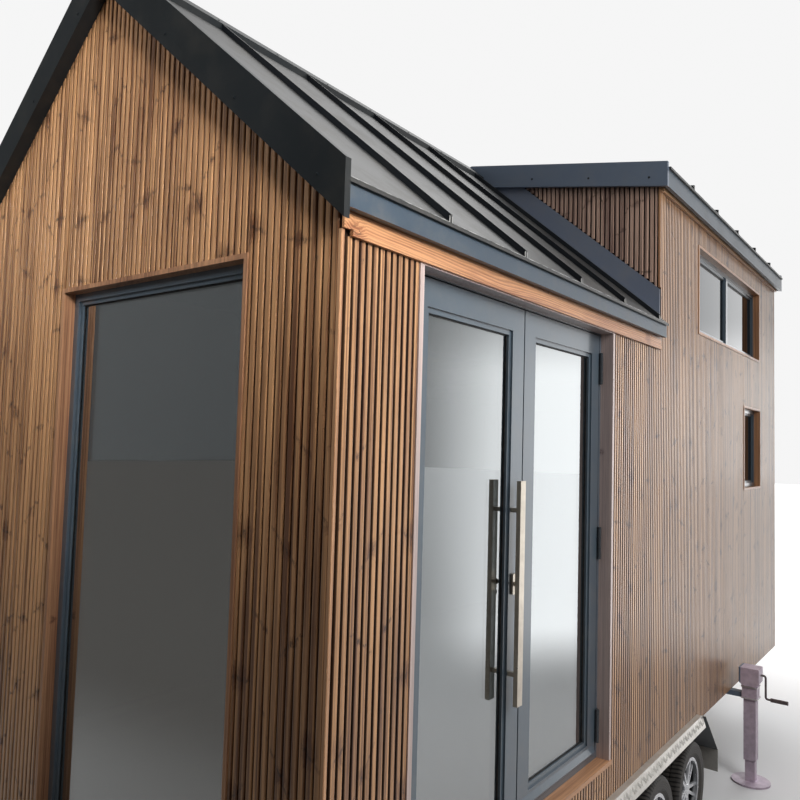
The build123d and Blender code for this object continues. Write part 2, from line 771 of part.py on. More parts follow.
# Door leaves: aluminium stiles and rails with a set-back glazing bead round one sealed pane
# each, and a sloped weather rail across the foot
door_middle = (door_first + door_last) / 2
leaf_face = frame_face
pane_face = leaf_face + door_glass_setback
for name, hinge_edge, meeting_edge in (
        ("left", frame_first + jamb_width + frame_gap, door_middle - meeting_gap / 2),
        ("right", frame_last - jamb_width - frame_gap, door_middle + meeting_gap / 2)):
    turn = 1 if meeting_edge > hinge_edge else -1
    glass_hinge_side = hinge_edge + turn * stile_width
    glass_meeting_side = meeting_edge - turn * meeting_stile_width
    with BuildPart() as leaf:
        block(hinge_edge, meeting_edge, leaf_face, leaf_face + leaf_depth, leaf_base, leaf_top)
        block(glass_hinge_side, glass_meeting_side, leaf_face, leaf_face + leaf_depth,
              leaf_base + bottom_rail_height, leaf_top - top_rail_height, mode=Mode.SUBTRACT)
        block(glass_hinge_side - turn * door_bead_width, glass_meeting_side + turn * door_bead_width,
              leaf_face, leaf_face + door_bead_setback,
              leaf_base + bottom_rail_height - door_bead_width,
              leaf_top - top_rail_height + door_bead_width, mode=Mode.SUBTRACT)
        with BuildSketch(Plane.YZ.offset(min(hinge_edge, meeting_edge) + weather_rail_end_gap)):
            rail_low = leaf_base + weather_rail_rise
            outline([(leaf_face, rail_low), (leaf_face, rail_low + weather_rail_height),
                     (leaf_face - weather_rail_projection, rail_low + weather_rail_nose),
                     (leaf_face - weather_rail_projection, rail_low)])
        extrude(amount=abs(meeting_edge - hinge_edge) - 2 * weather_rail_end_gap)
    save(leaf.part, f"{name}_door_leaf")

    with BuildPart() as pane:
        block(glass_hinge_side, glass_meeting_side, pane_face, pane_face + pane_thickness,
              leaf_base + bottom_rail_height, leaf_top - top_rail_height)
    save(pane.part, f"{name}_door_glass")

# Pull handles on the left leaf's meeting stile, outside and inside, and the lock's plates
handle_x = door_middle - meeting_gap / 2 - handle_edge_distance
handle_height = leaf_base + handle_rise
lock_x = door_middle - meeting_gap / 2 - lock_edge_distance
with BuildPart() as pull_handles:
    for face, out in ((leaf_face, -1), (leaf_face + leaf_depth, 1)):
        bar_inner = face + out * handle_standoff
        block(handle_x - handle_width / 2, handle_x + handle_width / 2, bar_inner,
              bar_inner + out * handle_depth, handle_height - handle_length / 2,
              handle_height + handle_length / 2)
        for arm in (-1, 1):
            arm_height = handle_height + arm * handle_arm_spacing / 2
            block(handle_x - handle_arm_size / 2, handle_x + handle_arm_size / 2, face, bar_inner,
                  arm_height - handle_arm_size / 2, arm_height + handle_arm_size / 2)
        with BuildSketch(Plane.XZ.offset(-face)):
            with Locations((lock_x, leaf_base + lock_rise)):
                RectangleRounded(lock_plate_width, lock_plate_height, lock_plate_corner)
        extrude(amount=-out * lock_plate_thickness)
        with BuildSketch(Plane.XZ.offset(-face)):
            with Locations((lock_x, leaf_base + lock_rise)):
                Circle(lock_barrel_radius)
        extrude(amount=-out * lock_barrel_reach)
save(pull_handles.part, "pull_handles")

# Windows: four timber boards, a dark frame with set-back beads and panes in each opening, in
# the glazed gable and in both long walls.
# Each opening is the plane of its wall with X along the wall and Z out of it, and its size.
gable_centre = (front, gable_first + gable_window_width / 2,
                gable_window_base + gable_window_height / 2)
window_openings = [(Plane(origin=gable_centre, x_dir=(0, -1, 0), z_dir=(-1, 0, 0)),
                    gable_window_width, gable_window_height, gable_light_count)]
for side in (-1, 1):
    for first, last, base, top, lights in side_windows:
        window_centre = ((first + last) / 2, side * half_width, (base + top) / 2)
        window_openings.append((Plane(origin=window_centre, x_dir=(-side, 0, 0), z_dir=(0, side, 0)),
                                last - first, top - base, lights))

with BuildPart() as window_trims:
    for wall_plane, width, height, lights in window_openings:
        with BuildSketch(wall_plane.offset(-trim_inset)):
            with GridLocations(0, height - window_trim_thickness, 1, 2):
                Rectangle(width, window_trim_thickness)
            with GridLocations(width - window_trim_thickness, 0, 2, 1):
                Rectangle(window_trim_thickness, height - 2 * (window_trim_thickness + gap))
        extrude(amount=trim_inset + trim_projection)
save(window_trims.part, "window_trims")

pane_margin = 2 * (window_trim_thickness + window_frame_width)
frame_rear = window_setback + window_frame_depth
with BuildPart() as window_frames:
    for wall_plane, width, height, lights in window_openings:
        with BuildSketch(wall_plane.offset(-frame_rear)):
            Rectangle(width, height)
            Rectangle(width - pane_margin, height - pane_margin, mode=Mode.SUBTRACT)
        extrude(amount=frame_rear - trim_inset)
        with BuildSketch(wall_plane.offset(-trim_inset)):
            Rectangle(width - 2 * window_trim_thickness, height - 2 * window_trim_thickness)
            Rectangle(width - pane_margin, height - pane_margin, mode=Mode.SUBTRACT)
        extrude(amount=trim_inset - window_setback)
        if lights > 1:
            with BuildSketch(wall_plane.offset(-frame_rear)):
                Rectangle(mullion_width, height - pane_margin)
            extrude(amount=window_frame_depth)
        light_width = (width - pane_margin - (lights - 1) * mullion_width) / lights
        with BuildSketch(wall_plane.offset(-window_setback - window_bead_setback)):
            with GridLocations(light_width + mullion_width, 0, lights, 1):
                Rectangle(light_width + 2 * window_bead_width,
                          height - pane_margin + 2 * window_bead_width)
        extrude(amount=window_bead_setback, mode=Mode.SUBTRACT)
save(window_frames.part, "window_frames")

pane_rear = window_setback + (window_frame_depth + glass_thickness) / 2
with BuildPart() as window_glass:
    for wall_plane, width, height, lights in window_openings:
        light_width = (width - pane_margin - (lights - 1) * mullion_width) / lights
        with BuildSketch(wall_plane.offset(-pane_rear)):
            with GridLocations(light_width + mullion_width, 0, lights, 1):
                Rectangle(light_width, height - pane_margin)
        extrude(amount=glass_thickness)
save(window_glass.part, "window_glass")

# Corner jacks: a gear head on the leg tube, clasped by a flanged sleeve on an arm from the rail
jack_line = half_width + jack_projection
jack_places = [(front + place, side) for place in (jack_front, jack_rear) for side in (-1, 1)]
jack_sleeve_base = rail_base - jack_sleeve_drop
jack_sleeve_top = jack_sleeve_base + jack_sleeve_height
head_base = jack_sleeve_base + jack_head_rise
jack_head_top = head_base + jack_head_height
jack_tube_base = head_base - jack_tube_length
bore = jack_tube_size - 2 * jack_tube_wall
with BuildPart() as jack_housings:
    for jack_x, side in jack_places:
        jack_y = side * jack_line
        with BuildSketch(Plane.YZ.offset(jack_x - jack_head_size / 2)):
            outline([(jack_y - jack_head_size / 2, jack_head_top),
                     (jack_y - jack_head_size / 2, head_base + jack_head_chamfer),
                     (jack_y - jack_head_size / 2 + jack_head_chamfer, head_base),
                     (jack_y + jack_head_size / 2 - jack_head_chamfer, head_base),
                     (jack_y + jack_head_size / 2, head_base + jack_head_chamfer),
                     (jack_y + jack_head_size / 2, jack_head_top)])
        extrude(amount=jack_head_size)
        for size, base, top in ((jack_tube_size, jack_tube_base, head_base),
                                (jack_sleeve_size, jack_sleeve_base, jack_sleeve_top),
                                (jack_ring_size, jack_sleeve_base,
                                 jack_sleeve_base + jack_ring_height),
                                (jack_ring_size, jack_sleeve_top - jack_ring_height,
                                 jack_sleeve_top)):
            block(jack_x - size / 2, jack_x + size / 2, jack_y - size / 2, jack_y + size / 2,
                  base, top)
        block(jack_x - jack_arm_width / 2, jack_x + jack_arm_width / 2,
              side * (rail_line + rail_width / 2), side * (jack_line - jack_tube_size / 2),
              jack_sleeve_base, jack_sleeve_base + jack_arm_height)
        block(jack_x - jack_arm_width / 2, jack_x + jack_arm_width / 2,
              side * (rail_line - rail_width / 2), side * (rail_line + rail_width / 2),
              jack_sleeve_base, rail_base)
        block(jack_x - bore / 2, jack_x + bore / 2, jack_y - bore / 2, jack_y + bore / 2,
              jack_tube_base, head_base, mode=Mode.SUBTRACT)
save(jack_housings.part, "jack_housings")

# Jack legs: square inner tubes, each welded to a round foot plate
leg_size = bore - 2 * jack_leg_clearance
jack_leg_top = head_base - jack_travel - jack_travel_clearance
for place_name, place in (("front", jack_front), ("rear", jack_rear)):
    for side_name, side in (("near", -1), ("far", 1)):
        jack_x = front + place
        jack_y = side * jack_line
        with BuildPart() as leg:
            with BuildSketch():
                with Locations((jack_x, jack_y)):
                    Circle(foot_radius)
            extrude(amount=foot_thickness)
            with BuildSketch(Plane.XY.offset(foot_thickness)):
                with Locations((jack_x, jack_y)):
                    Rectangle(leg_size, leg_size)
                    Rectangle(leg_size - 2 * jack_leg_wall, leg_size - 2 * jack_leg_wall,
                              mode=Mode.SUBTRACT)
            extrude(amount=jack_leg_top - foot_thickness)
        save(leg.part, f"{place_name}_{side_name}_jack_leg")

# Jack cranks: bent round bar from the gear head, with a turned grip
crank_height = jack_head_top - crank_below_top
for side_name, side in (("near", -1), ("far", 1)):
    crank_x = front + jack_rear
    crank_start = side * (jack_line + jack_head_size / 2 + gap)
    crank_out = crank_start + side * crank_shaft
    crank_low = crank_height - crank_arm
    with BuildPart() as crank:
        with BuildLine() as crank_path:
            FilletPolyline((crank_x, crank_start, crank_height), (crank_x, crank_out, crank_height),
                           (crank_x, crank_out, crank_low),
                           (crank_x, crank_out + side * crank_shaft, crank_low),
                           radius=2 * crank_radius)
        with BuildSketch(Plane(origin=(crank_x, crank_start, crank_height), z_dir=(0, side, 0))):
            Circle(crank_radius)
        sweep(path=crank_path.wire())
        with BuildSketch(Plane(origin=(crank_x, crank_out + side * crank_shaft, crank_low),
                               z_dir=(0, side, 0))):
            Circle(crank_grip_radius)
        extrude(amount=crank_grip)
    save(crank.part, f"{side_name}_jack_crank")
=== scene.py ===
from math import cos, pi, radians, sin, tan

import bmesh
import bpy
from mathutils import Matrix, Vector


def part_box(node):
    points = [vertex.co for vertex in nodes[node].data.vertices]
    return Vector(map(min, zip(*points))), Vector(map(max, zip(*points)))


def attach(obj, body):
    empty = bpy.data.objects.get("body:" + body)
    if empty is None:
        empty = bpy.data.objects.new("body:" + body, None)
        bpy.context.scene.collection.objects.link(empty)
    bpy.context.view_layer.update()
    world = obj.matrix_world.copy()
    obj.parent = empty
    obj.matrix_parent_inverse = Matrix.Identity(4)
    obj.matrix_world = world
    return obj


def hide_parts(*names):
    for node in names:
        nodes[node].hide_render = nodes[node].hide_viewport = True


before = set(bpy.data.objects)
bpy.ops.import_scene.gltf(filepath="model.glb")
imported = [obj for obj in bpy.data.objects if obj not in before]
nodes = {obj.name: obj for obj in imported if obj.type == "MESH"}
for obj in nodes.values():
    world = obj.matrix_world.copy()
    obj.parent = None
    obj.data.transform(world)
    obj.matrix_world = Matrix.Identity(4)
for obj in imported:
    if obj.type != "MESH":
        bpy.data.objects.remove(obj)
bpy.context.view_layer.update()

scene = bpy.context.scene
scene.view_settings.view_transform = "Standard"

# Camera: at eye height off the near front corner, looking along the door side. Its place,
# turn and focal length were solved from the straight edges in the photograph.
camera = bpy.data.objects.new("camera", bpy.data.cameras.new("camera"))
scene.collection.objects.link(camera)
camera.data.sensor_width = 36.0
camera.data.lens = 33.45
camera.data.clip_end = 200.0
camera.location = (-4.8418, -2.4911, 2.1879)
camera.rotation_euler = (radians(93.493), radians(-1.617), radians(-52.843))
scene.camera = camera


# Trailer: welded box sections and channels, hot-dip galvanised, with a bolted coupling head.
# The zinc has a spangle of crystals and dulls in patches, with road dust on it.
def tone(red, green, blue):
    """A colour from its 8-bit screen values."""
    linear = [((v / 255 + 0.055) / 1.055) ** 2.4 if v > 10 else v / 3295 for v in (red, green, blue)]
    return (*linear, 1.0)


def feed(tree, socket, value):
    """Links a socket to another one, or sets it to a plain value."""
    if isinstance(value, bpy.types.NodeSocket):
        tree.links.new(value, socket)
    else:
        socket.default_value = value


def fill(tree, made, values):
    """Feeds a node's inputs by name, with an underscore for each space."""
    for name, value in values.items():
        feed(tree, made.inputs[name.replace("_", " ")], value)
    return made


def add_node(tree, kind, settings=None, **values):
    """Adds a shader or geometry node, sets its options, and feeds its inputs."""
    made = tree.nodes.new(kind)
    for name, value in (settings or {}).items():
        setattr(made, name, value)
    return fill(tree, made, values)


def maths(tree, operation, *values, clamp=False):
    """Adds a maths node on one to three numbers or sockets, and returns its result."""
    made = add_node(tree, "ShaderNodeMath", {"operation": operation, "use_clamp": clamp})
    for socket, value in zip(made.inputs, values):
        feed(tree, socket, value)
    return made.outputs[0]


def plus(tree, first, second):
    """The sum of two numbers or sockets."""
    return maths(tree, "ADD", first, second)


def minus(tree, first, second):
    """The first number or socket less the second."""
    return maths(tree, "SUBTRACT", first, second)


def times(tree, first, second):
    """The product of two numbers or sockets."""
    return maths(tree, "MULTIPLY", first, second)


def larger(tree, first, second):
    """The larger of two numbers or sockets."""
    return maths(tree, "MAXIMUM", first, second)


def size_of(tree, value):
    """A number or socket without its sign."""
    return maths(tree, "ABSOLUTE", value)


def blend_colour(tree, share, first, second):
    """Mixes two colours by a share, and returns the result."""
    made = add_node(tree, "ShaderNodeMix", {"data_type": "RGBA"})
    for index, value in ((0, share), (6, first), (7, second)):
        feed(tree, made.inputs[index], value)
    return made.outputs[2]


def smooth_step(tree, value, low, high, first=0.0, last=1.0):
    """A soft step from one value to another."""
    return add_node(tree, "ShaderNodeMapRange", {"interpolation_type": "SMOOTHSTEP"}, Value=value,
                    From_Min=low, From_Max=high, To_Min=first, To_Max=last).outputs[0]


def noise(tree, place, scale, detail=2.0, roughness=0.5):
    """A noise value at a place."""
    return add_node(tree, "ShaderNodeTexNoise", Vector=place, Scale=scale, Detail=detail,
                    Roughness=roughness).outputs[0]


def vector(tree, x, y, z=0.0):
    """A vector from two or three numbers or sockets."""
    return add_node(tree, "ShaderNodeCombineXYZ", X=x, Y=y, Z=z).outputs[0]


def place_on(tree, kind="Object"):
    """The place on the piece, or the normal there, as a vector."""
    return add_node(tree, "ShaderNodeTexCoord").outputs[kind]


def axes(tree, kind="Object"):
    """The X, Y and Z of the place on the piece, or of the normal there."""
    return list(add_node(tree, "ShaderNodeSeparateXYZ", Vector=place_on(tree, kind)).outputs)


def new_group(title, kind, inputs, outputs):
    """Starts a node group. An input is given by its first value or by its kind of socket."""
    tree = bpy.data.node_groups.new(title, kind)
    for name, value in inputs.items():
        if isinstance(value, str):
            tree.interface.new_socket(name, in_out="INPUT", socket_type=value)
            continue
        sort = "NodeSocketColor" if isinstance(value, tuple) else "NodeSocketFloat"
        tree.interface.new_socket(name, in_out="INPUT", socket_type=sort).default_value = value
    for name, sort in outputs.items():
        tree.interface.new_socket(name, in_out="OUTPUT", socket_type=sort)
    return tree, tree.nodes.new("NodeGroupInput").outputs, tree.nodes.new("NodeGroupOutput").inputs


def workings(material):
    """A material's node tree and its Principled shader."""
    return material.node_tree, material.node_tree.nodes["Principled BSDF"]


def new_material(title, **values):
    """Starts a material with a Principled shader, whose sockets take the given values."""
    made = bpy.data.materials.new(title)
    made.use_nodes = True
    fill(*workings(made), values)
    return made


def finish_surface(material, group, relief, **values):
    """Places a surface group in a material, and links its colour, roughness and height to the shader."""
    tree, shader = workings(material)
    placed = add_node(tree, "ShaderNodeGroup", {"node_tree": group}, **values).outputs
    tree.links.new(placed["Color"], shader.inputs["Base Color"])
    tree.links.new(placed["Roughness"], shader.inputs["Roughness"])
    if relief:
        bent = add_node(tree, "ShaderNodeBump", Distance=relief, Height=placed["Height"])
        tree.links.new(bent.outputs[0], shader.inputs["Normal"])


def overlay(tree, shader, share, colour):
    """Lays a further colour over a material's own, by a share."""
    base = shader.inputs["Base Color"]
    tree.links.new(blend_colour(tree, share, base.links[0].from_socket, colour), base)


def paint(names, material):
    """Gives CAD pieces their material."""
    for name in names:
        mesh = nodes[name].data
        mesh.materials.clear()
        mesh.materials.append(material)


def new_piece(name, mesh, material, body, replaced=()):
    """Puts a finished mesh in the scene at the origin, on its body."""
    piece = bpy.data.objects.new(name, mesh)
    scene.collection.objects.link(piece)
    if material is not None:
        mesh.materials.clear()
        mesh.materials.append(material)
    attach(piece, body)
    if replaced:
        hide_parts(*replaced)


yard_dust = tone(150, 138, 120)
surface_outputs = {"Color": "NodeSocketColor", "Roughness": "NodeSocketFloat", "Height": "NodeSocketFloat"}
dusty, sockets, results = new_group(
    "dusty_surface", "ShaderNodeTree",
    {"Color": (0.5, 0.5, 0.5, 1), "Patch Color": (0.4, 0.4, 0.4, 1), "Dust Color": yard_dust,
     "Patch Size": 0.15, "Grit Size": 0.002, "Dust": 0.2, "Roughness": 0.4, "Roughness Spread": 0.15},
    surface_outputs)
place = place_on(dusty)
patches = noise(dusty, place, maths(dusty, "DIVIDE", 1.0, sockets["Patch Size"]), 4.0, 0.6)
grit = noise(dusty, place, maths(dusty, "DIVIDE", 1.0, sockets["Grit Size"]))
settled = noise(dusty, place, maths(dusty, "DIVIDE", 2.7, sockets["Patch Size"]), 5.0, 0.7)
dust_mask = times(dusty, smooth_step(dusty, settled, 0.42, 0.75), sockets["Dust"])
colour = blend_colour(dusty, smooth_step(dusty, patches, 0.3, 0.7), sockets["Color"], sockets["Patch Color"])
dusty.links.new(blend_colour(dusty, dust_mask, colour, sockets["Dust Color"]), results["Color"])
spread = times(dusty, minus(dusty, patches, 0.5), sockets["Roughness Spread"])
rough = plus(dusty, plus(dusty, sockets["Roughness"], spread), times(dusty, dust_mask, 0.4))
dusty.links.new(rough, results["Roughness"])
dusty.links.new(maths(dusty, "MULTIPLY_ADD", patches, 0.4, grit), results["Height"])


def dusty_material(title, colour, patch, dust=0.2, roughness=0.4, spread=0.15, patch_size=0.15, grit=0.002,
                   relief=0.0001, metallic=0.0, dust_colour=yard_dust, **values):
    """A painted or bare surface with patches and settled dust."""
    made = new_material(title, Metallic=metallic, **values)
    finish_surface(made, dusty, relief, Color=colour, Patch_Color=patch, Dust=dust, Dust_Color=dust_colour,
                   Roughness=roughness, Patch_Size=patch_size, Grit_Size=grit, Roughness_Spread=spread)
    return made


crystal_scale = 85.0
zinc = new_material("galvanised_steel", Metallic=0.85)
tree, shader = workings(zinc)
spangle = add_node(tree, "ShaderNodeTexVoronoi", Vector=place_on(tree), Scale=crystal_scale).outputs["Color"]
crystal = add_node(tree, "ShaderNodeSeparateColor", Color=spangle).outputs[0]
zinc_tone = blend_colour(tree, crystal, tone(150, 153, 155), tone(186, 189, 190))
finish_surface(zinc, dusty, 0.0002, Color=zinc_tone, Patch_Color=tone(140, 143, 146), Dust=0.35,
               Roughness=0.42, Patch_Size=0.2, Grit_Size=0.003)
paint(("chassis_rails", "cross_members", "drawbar", "axles"), zinc)
coupling_paint = dusty_material("coupling_paint", tone(38, 39, 41), tone(52, 52, 53), dust=0.3,
                                roughness=0.38, patch_size=0.06)
paint(("coupling_head",), coupling_paint)

# Wheels: low-profile tyres on polished alloy rims with five paired spokes, dusty from the yard.
# Each tread has ribs cut by slots, moulded in one with the tyre.
axle_pitch, tread_radius, tread_edge = 0.588, 0.242, 0.006
tread_slots, slot_skew, sidewall_rings, moulding_depth = 72, 40.0, 90.0, 0.003
tyre_low, tyre_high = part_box("front_near_tyre")
axle_x, axle_z = (tyre_low.x + tyre_high.x) / 2, (tyre_low.z + tyre_high.z) / 2
tyre_rubber = dusty_material("tyre_rubber", tone(54, 52, 51), tone(66, 63, 60), dust=0.3, roughness=0.6,
                             patch_size=0.07, grit=0.0015, relief=0.0, dust_colour=tone(112, 106, 98))
tree, shader = workings(tyre_rubber)
x, y, z = axes(tree)
along_row = plus(tree, minus(tree, x, axle_x), axle_pitch * 1.5)
from_axle = minus(tree, maths(tree, "MODULO", along_row, axle_pitch), axle_pitch / 2)
above_axle = minus(tree, z, axle_z)


def span(tree, first, second):
    """The straight distance over two sides that meet at a right angle."""
    squares = [maths(tree, "POWER", side, 2.0) for side in (first, second)]
    return maths(tree, "SQRT", plus(tree, *squares))


radius = span(tree, from_axle, above_axle)
round_angle = maths(tree, "ARCTAN2", above_axle, from_axle)
skew = times(tree, size_of(tree, y), slot_skew)
slot_wave = maths(tree, "SINE", plus(tree, times(tree, round_angle, tread_slots), skew))
on_tread = smooth_step(tree, radius, tread_radius, tread_radius + tread_edge)
slot = times(tree, smooth_step(tree, slot_wave, 0.2, 0.7), on_tread)
ring = maths(tree, "SINE", times(tree, radius, sidewall_rings * 2 * pi))
ring = times(tree, smooth_step(tree, ring, 0.3, 0.8), minus(tree, 1.0, on_tread))
moulding = minus(tree, times(tree, ring, 0.25), slot)
pressed = add_node(tree, "ShaderNodeBump", Distance=moulding_depth, Height=moulding)
tree.links.new(pressed.outputs[0], shader.inputs["Normal"])
# The slots are painted near black: painted shade inside grooves that are only a bump.
overlay(tree, shader, times(tree, slot, 0.8), tone(14, 14, 15))
rim_face_y, spoke_face_depth, spoke_back_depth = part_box("front_far_rim")[1].y, 0.021, 0.034
alloy = dusty_material("wheel_alloy", tone(244, 245, 248), tone(230, 232, 236), dust=0.08, roughness=0.24,
                       patch_size=0.05, relief=0.00003, metallic=0.55)
tree, shader = workings(alloy)
# Behind the spoke faces the alloy is painted dark blue-grey: painted shade in the wheel's recesses.
behind_face = minus(tree, rim_face_y, size_of(tree, axes(tree)[1]))
recess_shade = smooth_step(tree, behind_face, spoke_face_depth, spoke_back_depth, 0.0, 0.92)
overlay(tree, shader, recess_shade, tone(28, 33, 40))
wheel_places = [(row, side) for row in ("front", "middle", "rear") for side in ("near", "far")]
paint([f"{row}_{side}_tyre" for row, side in wheel_places], tyre_rubber)
paint([f"{row}_{side}_rim" for row, side in wheel_places], alloy)

# Mudguards: folded aluminium chequer plate, riveted up against the cladding. The raised bars
# of the plate stand in fives of alternate slant, smoother than the plate and coloured lighter as a painted
# highlight.
plate_metallic = 0.6
guard_alloy = dusty_material("chequer_alloy", tone(212, 208, 202), tone(196, 192, 186), dust=0.2,
                             roughness=0.3, patch_size=0.09, relief=0.00005, metallic=plate_metallic)
tree, shader = workings(guard_alloy)
# Faces turned downwards are painted dark blue-grey and made less metallic: painted shade under the guard.
underside = smooth_step(tree, axes(tree, "Normal")[2], -0.2, -0.4)
overlay(tree, shader, underside, tone(44, 54, 62))
tree.links.new(minus(tree, plate_metallic, times(tree, underside, plate_metallic)), shader.inputs["Metallic"])
paint(("mudguards",), guard_alloy)
# The bars are coloured lighter than the plate: a painted highlight on their tops, over their smoother finish.
bar_alloy_highlight = dusty_material("chequer_bar_alloy", tone(246, 244, 238), tone(232, 230, 224), dust=0.08,
                           roughness=0.22, patch_size=0.09, relief=0.00003, metallic=0.55)


def grow(name, tree, points, attributes, material, body):
    """Runs a geometry tree on a cloud of points and keeps the result as a plain mesh."""
    cloud = bpy.data.meshes.new(name)
    cloud.from_pydata(points, [], [])
    for key, values in attributes.items():
        layer = cloud.attributes.new(key, "FLOAT_VECTOR", "POINT")
        layer.data.foreach_set("vector", [part for value in values for part in value])
    seed = bpy.data.objects.new(name + "_seed", cloud)
    scene.collection.objects.link(seed)
    growth = seed.modifiers.new("growth", "NODES")
    growth.node_group = tree
    keys = {item.name: item.identifier for item in tree.interface.items_tree if item.in_out == "INPUT"}
    growth[keys["Material"]] = material
    shaped = bpy.data.meshes.new_from_object(seed.evaluated_get(bpy.context.evaluated_depsgraph_get()))
    bpy.data.objects.remove(seed)
    shaped.name = name
    new_piece(name, shaped, None, body)


def carried(tree, name):
    """The vector that each point carries under a name."""
    found = add_node(tree, "GeometryNodeInputNamedAttribute", {"data_type": "FLOAT_VECTOR"}, Name=name)
    return found.outputs[0]


def scatter_tree(title, inputs, form, stretched=False):
    """A tree that sets one form on every point, turned, and stretched or not, as the point says."""
    tree, sockets, results = new_group(
        title, "GeometryNodeTree",
        {"Geometry": "NodeSocketGeometry", **inputs, "Material": "NodeSocketMaterial"},
        {"Geometry": "NodeSocketGeometry"})
    placed = add_node(tree, "GeometryNodeInstanceOnPoints", Points=sockets["Geometry"],
                      Instance=form(tree, sockets), Rotation=carried(tree, "turn"))
    if stretched:
        tree.links.new(carried(tree, "stretch"), placed.inputs["Scale"])
    realised = add_node(tree, "GeometryNodeRealizeInstances", Geometry=placed.outputs[0])
    coated = add_node(tree, "GeometryNodeSetMaterial", Geometry=realised.outputs[0],
                      Material=sockets["Material"])
    tree.links.new(coated.outputs[0], results["Geometry"])
    return tree


def tread_bar(tree, sockets):
    """One raised bar: a flattened ball, long and narrow."""
    ball = add_node(tree, "GeometryNodeMeshUVSphere", Segments=8, Rings=4, Radius=1.0)
    halves = [maths(tree, "DIVIDE", sockets[name], 2.0) for name in ("Bar Length", "Bar Width")]
    return add_node(tree, "GeometryNodeTransform", Geometry=ball.outputs[0],
                    Scale=vector(tree, *halves, sockets["Bar Height"])).outputs[0]


bar_sizes = {"Bar Length": 0.025, "Bar Width": 0.0048, "Bar Height": 0.0022}
chequer = scatter_tree("chequer_bars", bar_sizes, tread_bar)
guard_low, guard_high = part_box("mudguards")
guard_top = guard_high.z
guard_middle = (guard_low.x + guard_high.x) / 2
guard_end = 0.27
guard_flat = guard_high.x - guard_middle - guard_end
guard_edge, guard_flare, guard_drop, fold_gap = 1.22, 0.02, 0.057, 0.003
slope_run, slope_drop, slope_width = 0.267, 0.272, 0.205
slope_start, slope_share = 0.2, 0.78
group_pitch, bar_spacing = 0.037, 0.0068
points, turns = [], []


def lay_bars(corner, along, across, length, width, out):
    """Lays bars over a flat panel in groups of five, in a chequer of opposite slants."""
    columns, rows = int(length / group_pitch), max(1, int(width / group_pitch))
    for row in range(rows):
        for column in range(columns):
            middle = corner + along * ((column + 0.5) * length / columns)
            middle += across * ((row + 0.5) * width / rows)
            slant = radians(45 if (row + column) % 2 else -45)
            first = along * cos(slant) + across * sin(slant)
            turn = tuple(Matrix((first, out.cross(first), out)).transposed().to_euler())
            for step in (-2, -1, 0, 1, 2):
                points.append(middle + out.cross(first) * step * bar_spacing)
                turns.append(turn)


for side in (-1, 1):
    corner = Vector((guard_middle - guard_flat, side * (guard_edge + fold_gap), guard_top))
    down = Vector((0, side * guard_flare, -guard_drop)).normalized()
    out = Vector((0, side * guard_drop, guard_flare)).normalized()
    lay_bars(corner, Vector((1, 0, 0)), down, 2 * guard_flat, guard_drop, out)
    for end in (-1, 1):
        slope = Vector((end * slope_run, 0, -slope_drop))
        corner = Vector((guard_middle + end * guard_flat, side * (guard_edge + guard_flare), guard_top))
        out = Vector((end * slope_drop, 0, slope_run)).normalized()
        lay_bars(corner + slope * slope_start, slope.normalized(), Vector((0, -side, 0)),
                 slope.length * slope_share, slope_width, out)
grow("chequer_bars", chequer, points, {"turn": turns}, bar_alloy_highlight, "house")

# Corner jacks: square tubes in a thin violet-grey primer, each with a gear head, a crank and a
# round foot. The arms that carry them are painted a darker grey.
arm_end_y, arm_underside = 1.262, 0.4
jack_paint = dusty_material("jack_oxide_paint", tone(216, 198, 214), tone(194, 176, 194), dust=0.2,
                            roughness=0.42, patch_size=0.05, relief=0.0002)
tree, shader = workings(jack_paint)
_, y, z = axes(tree)
on_arm = times(tree, maths(tree, "LESS_THAN", size_of(tree, y), arm_end_y),
               maths(tree, "GREATER_THAN", z, arm_underside))
overlay(tree, shader, on_arm, tone(104, 118, 136))
crank_steel = dusty_material("crank_steel", tone(92, 80, 84), tone(120, 112, 112), dust=0.2, roughness=0.42,
                             patch_size=0.03, metallic=0.4)
jack_places = [(row, side) for row in ("front", "rear") for side in ("near", "far")]
paint(["jack_housings", *(f"{row}_{side}_jack_leg" for row, side in jack_places)], jack_paint)
paint(("near_jack_crank", "far_jack_crank"), crank_steel)


# Jack bands: two bright zinc bands clamped round the outer tube of each jack.
# They are bent from flat strip and stand a little proud of the paint.
def eased_block(shape, x0, x1, y0, y1, z0, z1, ease=0.0015):
    """Adds a block with eased edges to a mesh in the making."""
    middle = Vector(((x0 + x1) / 2, (y0 + y1) / 2, (z0 + z1) / 2))
    size = Vector((abs(x1 - x0), abs(y1 - y0), abs(z1 - z0)))
    fresh = bmesh.ops.create_cube(shape, size=1.0, matrix=Matrix.LocRotScale(middle, None, size))["verts"]
    edges = list({edge for vertex in fresh for edge in vertex.link_edges})
    bmesh.ops.bevel(shape, geom=edges, offset=ease, segments=2, affect="EDGES", clamp_overlap=True)


def shaped_piece(name, shape, material, body):
    """Turns a mesh in the making into a finished piece with outward faces."""
    bmesh.ops.recalc_face_normals(shape, faces=shape.faces)
    mesh = bpy.data.meshes.new(name)
    shape.to_mesh(mesh)
    shape.free()
    new_piece(name, mesh, material, body)


def square_ring(shape, x, y, half_inside, wall, z0, z1):
    """Adds a band of four eased bars round an upright square tube."""
    inner, outer = half_inside, half_inside + wall
    for side in (-1, 1):
        eased_block(shape, x - outer, x + outer, y + side * inner, y + side * outer, z0, z1, 0.001)
        eased_block(shape, x + side * inner, x + side * outer, y - inner, y + inner, z0, z1, 0.001)


